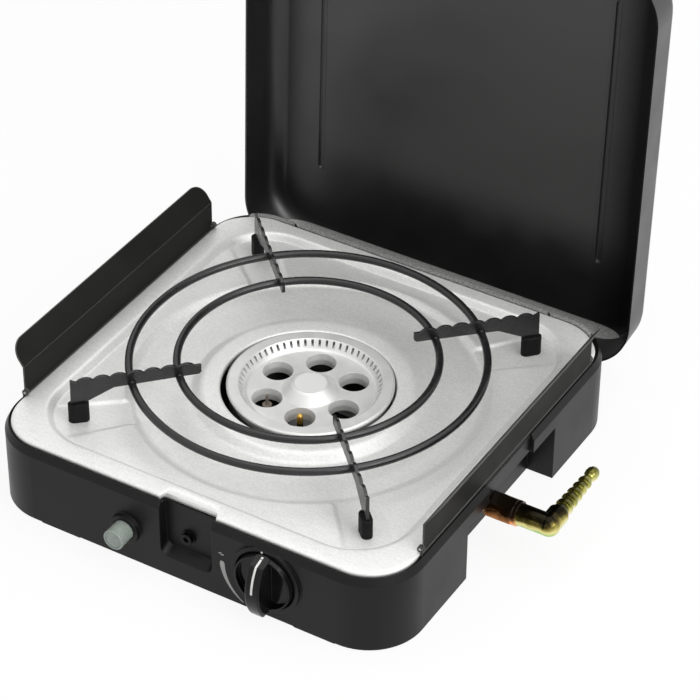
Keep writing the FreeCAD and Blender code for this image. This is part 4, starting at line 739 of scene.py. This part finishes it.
def flame_scale():
    """The grey crescent left of the knob, which narrows as the flame gets lower."""
    points = []
    across = []
    widths = []
    for k in range(SCALE_STEPS + 1):
        share = k / SCALE_STEPS
        turn = math.radians(SCALE_START + SCALE_SWEEP * share)
        way = Vector((math.cos(turn), 0, math.sin(turn)))
        points.append((KNOB_X + SCALE_RADIUS * way.x, FRONT_Y - PRINT_LIFT, KNOB_Z + SCALE_RADIUS * way.z))
        across.append(way)
        rounded_end = min(1.0, 0.5 + k / 4)
        widths.append((SCALE_WIDE + (SCALE_NARROW - SCALE_WIDE) * share) * rounded_end)
    return ribbon(points, across, widths)


def spark_sign():
    """The small zigzag above the crescent that marks where the burner is lit."""
    points = [(x, FRONT_Y - PRINT_LIFT, z) for x, z in SPARK_CORNERS]
    return ribbon(points, [Vector((0, 0, 1))] * len(points), [SPARK_WIDTH] * len(points))


def round_mark(x, y, z, radius, turn):
    """A thin disc, drawn flat and turned to lie on its surface."""
    shape = bmesh.new()
    place = Matrix.Translation(at(x, y, z)) @ Matrix.Rotation(turn, 4, "X")
    bmesh.ops.create_circle(shape, cap_ends=True, segments=48, radius=radius * MM, matrix=place)
    shape.normal_update()
    bmesh.ops.solidify(shape, geom=shape.faces[:], thickness=PRINT_THICK * MM)
    return shape


def square_reach(half, corner, turn):
    """How far a ray at this angle runs from the middle to a rounded square's outline."""
    folded = abs((turn + math.pi / 4) % (math.pi / 2) - math.pi / 4)
    flat = half - corner
    if half * math.tan(folded) <= flat:
        return half / math.cos(folded)
    far = flat * math.sqrt(2)
    side = far * math.sin(math.pi / 4 - folded)
    return far * math.cos(math.pi / 4 - folded) + math.sqrt(corner * corner - side * side)


def corner_of(half):
    """The corner radius of the tray's rounded square with this half width."""
    if half < BORDER_FROM:
        return STEP_CORNER + (half - STEP_CORNER_HALF)
    share = (half - BORDER_FROM) / (TRAY_HALF - BORDER_FROM)
    return BORDER_CORNER + (TRAY_CORNER - BORDER_CORNER) * share


def eased(value):
    """A smooth step from 0 to 1."""
    value = min(1.0, max(0.0, value))
    return value * value * (3 - 2 * value)


def rounded_steps(corners, radius):
    """Points along a profile whose corners are each cut by a short curve."""
    points = [corners[0]]
    for k in range(1, len(corners) - 1):
        here = Vector(corners[k])
        back = Vector(corners[k - 1]) - here
        ahead = Vector(corners[k + 1]) - here
        cut = min(radius, back.length * 0.45, ahead.length * 0.45)
        start = here + back.normalized() * cut
        end = here + ahead.normalized() * cut
        for j in range(BEND_STEPS + 1):
            t = j / BEND_STEPS
            point = start * (1 - t) ** 2 + here * 2 * t * (1 - t) + end * t ** 2
            points.append(tuple(point))
    points.append(corners[-1])
    return points


def tray_height(x, y, z):
    """The tray's height after the four foot dimples and the wedges from them to the well are pressed."""
    for sx in (-1, 1):
        for sy in (-1, 1):
            along = (x * sx + y * sy) * math.sqrt(0.5)
            aside = abs(x * sx - y * sy) * math.sqrt(0.5)
            foot = FOOT_AT * math.sqrt(2)
            t = (foot - along) / (foot - WEDGE_END)
            if -0.2 < t <= 1.1 and along > WEDGE_END:
                ramp = FIELD_Z + WEDGE_LIFT - WEDGE_DROP * t
                inside = eased((WEDGE_HALF + WEDGE_SPREAD * t - aside) / WEDGE_EDGE)
                if ramp < z:
                    z = z + (ramp - z) * inside
            distance = math.hypot(x - sx * FOOT_AT, y - sy * FOOT_AT)
            if distance < FOOT_REACH:
                floor = FOOT_FLOOR_Z + FOOT_RISE * eased((distance - FOOT_FLAT) / FOOT_EDGE)
                z = min(z, floor)
    return z


def tray_skin():
    """Pressed steel tray: rings of vertices drawn outwards from the burner hole, then down the rim."""
    circles = rounded_steps([(HOLE_RADIUS, LIP_LOW), (HOLE_RADIUS, COLLAR_Z), (COLLAR_RADIUS, COLLAR_Z),
                             (COLLAR_FOOT, WELL_Z), (WELL_FLOOR_RADIUS, WELL_Z), (WELL_RADIUS, FIELD_Z),
                             (FIELD_RADIUS, FIELD_Z)], WELL_BEND)
    squares = rounded_steps([(FIELD_HALF, FIELD_Z), (BORDER_FOOT, FIELD_Z), (BORDER_TOP, BORDER_Z),
                             (TRAY_HALF, BORDER_Z), (TRAY_HALF, SKIRT_LOW)], BORDER_BEND)
    rings = [("circle", r, z) for r, z in circles] + [("square", h, z) for h, z in squares]
    shape = bmesh.new()
    loop = bmesh.ops.create_circle(shape, segments=TRAY_STEPS, radius=HOLE_RADIUS * MM)["verts"]
    place_ring(loop, [math.atan2(v.co.y, v.co.x) for v in loop], rings[0])
    edges = shape.edges[:]
    for ring in rings[1:]:
        grown = bmesh.ops.extrude_edge_only(shape, edges=edges)
        edges = [e for e in grown["geom"] if isinstance(e, bmesh.types.BMEdge)]
        loop = [v for v in grown["geom"] if isinstance(v, bmesh.types.BMVert)]
        place_ring(loop, [math.atan2(v.co.y - MIDDLE.y, v.co.x - MIDDLE.x) for v in loop], ring)
    return shape


def place_ring(loop, turns, ring):
    """Puts one ring of the tray's vertices on its circle or rounded square, at its height."""
    form, size, height = ring
    for vertex, turn in zip(loop, turns):
        reach = size if form == "circle" else square_reach(size, corner_of(size), turn)
        x = reach * math.cos(turn)
        y = reach * math.sin(turn)
        step_in = eased((NOTCH_HALF + NOTCH_OVER - abs(x - NOTCH_X)) / NOTCH_EDGE)
        if y < NOTCH_Y and step_in > 0:
            y = y + (NOTCH_Y - y) * step_in
        if form == "square" and size > REAR_STEP_HALF:
            y = y - REAR_STEP * eased((y - REAR_STEP_FROM) / REAR_STEP_LENGTH)
        z = height
        beside_rail = abs(x) > RAIL_X and RAIL_FRONT < y < RAIL_BACK
        if form == "square" and z < SKIRT_LOW + SKIRT_EDGE and beside_rail:
            z = max(z, SKIRT_LOW_AT_RAIL)
        vertex.co = at(x, y, tray_height(x, y, z))


def rear_rim():
    """The flat strip inside the casing's rear wall, which the tray leaves bare. It follows both
    corners, and is slotted where the lid's arms come through."""
    shape = bmesh.new()
    bmesh.ops.create_grid(shape, x_segments=RIM_STEPS, y_segments=1, size=0.5)
    flat = RIM_BACK - RIM_CORNER
    for vertex in shape.verts:
        x = 2 * RIM_END * vertex.co.x
        over = max(0.0, abs(x) - flat)
        back = flat + math.sqrt(RIM_CORNER ** 2 - over ** 2)
        y = back - RIM_WIDTH * (0.5 - vertex.co.y)
        vertex.co = at(x, y, RIM_TOP)
    places = {face: abs(face.calc_center_median().x - MIDDLE.x) / MM for face in shape.faces}
    slots = [face for face, x in places.items() if abs(x - LID_ARM_X) < LID_ARM_SLOT]
    bmesh.ops.delete(shape, geom=slots, context="FACES")
    shape.normal_update()
    bmesh.ops.solidify(shape, geom=shape.faces[:], thickness=(RIM_TOP - RIM_LOW) * MM)
    return shape


def make_pieces():
    """Makes the scene's own pieces, each on its body and in its slot."""
    finish_piece(wire_ring(OUTER_RING), "outer_wire_ring", "pan_support", "black_enamel",
                 ["support_outer_ring"])
    finish_piece(wire_ring(INNER_RING), "inner_wire_ring", "pan_support", "black_enamel",
                 ["support_inner_ring"])
    tray = finish_piece(tray_skin(), "pressed_tray", "base", "satin_stainless",
                        ["steel_tray"])
    sheet = tray.modifiers.new("sheet", "SOLIDIFY")
    sheet.thickness = TRAY_SHEET * MM
    sheet.offset = -1.0
    # The rim strip's grey finish is a painted highlight
    finish_piece(rear_rim(), "rear_rim", "base", "highlight_grey_abs", smooth=False)
    finish_piece(weld_beads(), "weld_beads", "pan_support", "black_enamel")
    boss_face = round_mark(BURNER_X, 0, BOSS_Z + PRINT_LIFT, BOSS_RADIUS, 0)
    finish_piece(boss_face, "turned_boss_face", "base", "turned_aluminium", smooth=False)
    finish_piece(knob_pointer(), "knob_pointer", "knob", "white_ink", smooth=False)
    dot = round_mark(DOT_X, RING_FACE_Y - PRINT_LIFT, DOT_Z, DOT_RADIUS, math.pi / 2)
    finish_piece(dot, "dial_dot", "base", "white_ink", smooth=False)
    finish_piece(flame_scale(), "flame_scale", "base", "grey_ink", smooth=False)
    finish_piece(spark_sign(), "spark_sign", "base", "grey_ink", smooth=False)


def place_camera():
    """The photograph's camera: above the front right corner, with a long lens."""
    data = bpy.data.cameras.new("photo_camera")
    data.sensor_width = CAMERA_FILM
    data.lens = CAMERA_LENS
    data.clip_end = 20.0
    camera = bpy.data.objects.new("photo_camera", data)
    turn = Matrix.Rotation(math.radians(CAMERA_TURN), 4, "Z")
    tilt = Matrix.Rotation(math.radians(90 - CAMERA_TILT), 4, "X")
    roll = Matrix.Rotation(math.radians(CAMERA_ROLL), 4, "Z")
    camera.matrix_world = Matrix.Translation(at(*CAMERA_AT)) @ turn @ tilt @ roll
    bpy.context.scene.collection.objects.link(camera)
    bpy.context.scene.camera = camera


def soft_lamp(name, place, target, size, power):
    """A square area lamp that faces its target."""
    data = bpy.data.lights.new(name, "AREA")
    data.shape = "RECTANGLE"
    data.size = size
    data.size_y = size
    data.energy = power
    lamp = bpy.data.objects.new(name, data)
    lamp.location = place
    way = Vector(target) - Vector(place)
    lamp.rotation_euler = way.to_track_quat("-Z", "Y").to_euler()
    bpy.context.scene.collection.objects.link(lamp)


def background_rays(tree):
    """One for rays that see the plain background: the camera's own, and those off metal or through glass."""
    rays = add(tree, "ShaderNodeLightPath")
    direct = add(tree, "ShaderNodeMath", {0: rays.outputs["Is Camera Ray"],
                                          1: rays.outputs["Is Glossy Ray"]}, operation="MAXIMUM")
    seen = add(tree, "ShaderNodeMath", {0: direct.outputs["Value"],
                                        1: rays.outputs["Is Transmission Ray"]}, operation="MAXIMUM")
    return seen.outputs["Value"]


def floor_paper():
    # Matt white paper. Round the stove, most of what is seen of it is plain white, and the rest takes the
    # stove's shadow. Under the stove it is only paper, and goes dark
    material = bpy.data.materials.new("studio_floor")
    material.use_nodes = True
    tree = material.node_tree
    tree.nodes.clear()
    paper = add(tree, "ShaderNodeBsdfDiffuse", {"Color": linear("#e6e6e6")})
    white = add(tree, "ShaderNodeEmission", {"Color": linear("#ffffff"), "Strength": 1.0})
    place = add(tree, "ShaderNodeTexCoord").outputs["Object"]
    apart = add(tree, "ShaderNodeVectorMath", {0: place, 1: tuple(MIDDLE)}, operation="SUBTRACT")
    away = add(tree, "ShaderNodeVectorMath", {0: apart.outputs["Vector"]}, operation="ABSOLUTE")
    axes = add(tree, "ShaderNodeSeparateXYZ", {"Vector": away.outputs["Vector"]})
    reach = add(tree, "ShaderNodeMath", {0: axes.outputs["X"], 1: axes.outputs["Y"]}, operation="MAXIMUM")
    clear = add(tree, "ShaderNodeMath", {0: reach.outputs["Value"], 1: UNDER_STOVE * MM},
                operation="GREATER_THAN")
    open_floor = add(tree, "ShaderNodeMath", {0: background_rays(tree), 1: clear.outputs["Value"]},
                     operation="MULTIPLY")
    share = add(tree, "ShaderNodeMath", {0: open_floor.outputs["Value"], 1: FLOOR_WHITE},
                operation="MULTIPLY")
    both = add(tree, "ShaderNodeMixShader", {"Fac": share.outputs["Value"], 1: paper.outputs["BSDF"],
                                             2: white.outputs["Emission"]})
    add(tree, "ShaderNodeOutputMaterial", {"Surface": both.outputs["Shader"]})
    return material


def studio_world():
    """White surroundings, which light the stove less strongly than they look."""
    world = bpy.data.worlds.new("studio")
    world.use_nodes = True
    sky = world.node_tree
    sky.nodes.clear()
    dim = add(sky, "ShaderNodeBackground", {"Color": linear("#ffffff"), "Strength": SURROUNDINGS})
    plain = add(sky, "ShaderNodeBackground", {"Color": linear("#ffffff"), "Strength": 1.0})
    mixed = add(sky, "ShaderNodeMixShader", {"Fac": background_rays(sky), 1: dim.outputs["Background"],
                                             2: plain.outputs["Background"]})
    add(sky, "ShaderNodeOutputWorld", {"Surface": mixed.outputs["Shader"]})
    return world


def studio():
    """The floor, the surroundings and the soft lamps."""
    shape = bmesh.new()
    bmesh.ops.create_grid(shape, x_segments=2, y_segments=2, size=FLOOR_HALF)
    mesh = bpy.data.meshes.new("floor")
    shape.to_mesh(mesh)
    shape.free()
    floor = bpy.data.objects.new("floor", mesh)
    bpy.context.scene.collection.objects.link(floor)
    mesh.materials.append(floor_paper())
    bpy.context.scene.world = studio_world()
    for name, (place, target, size, power) in LAMPS.items():
        soft_lamp(name, place, target, size, power)


place_camera()
studio()
dress_cad_nodes()
make_pieces()
bpy.context.scene.view_settings.view_transform = "Standard"
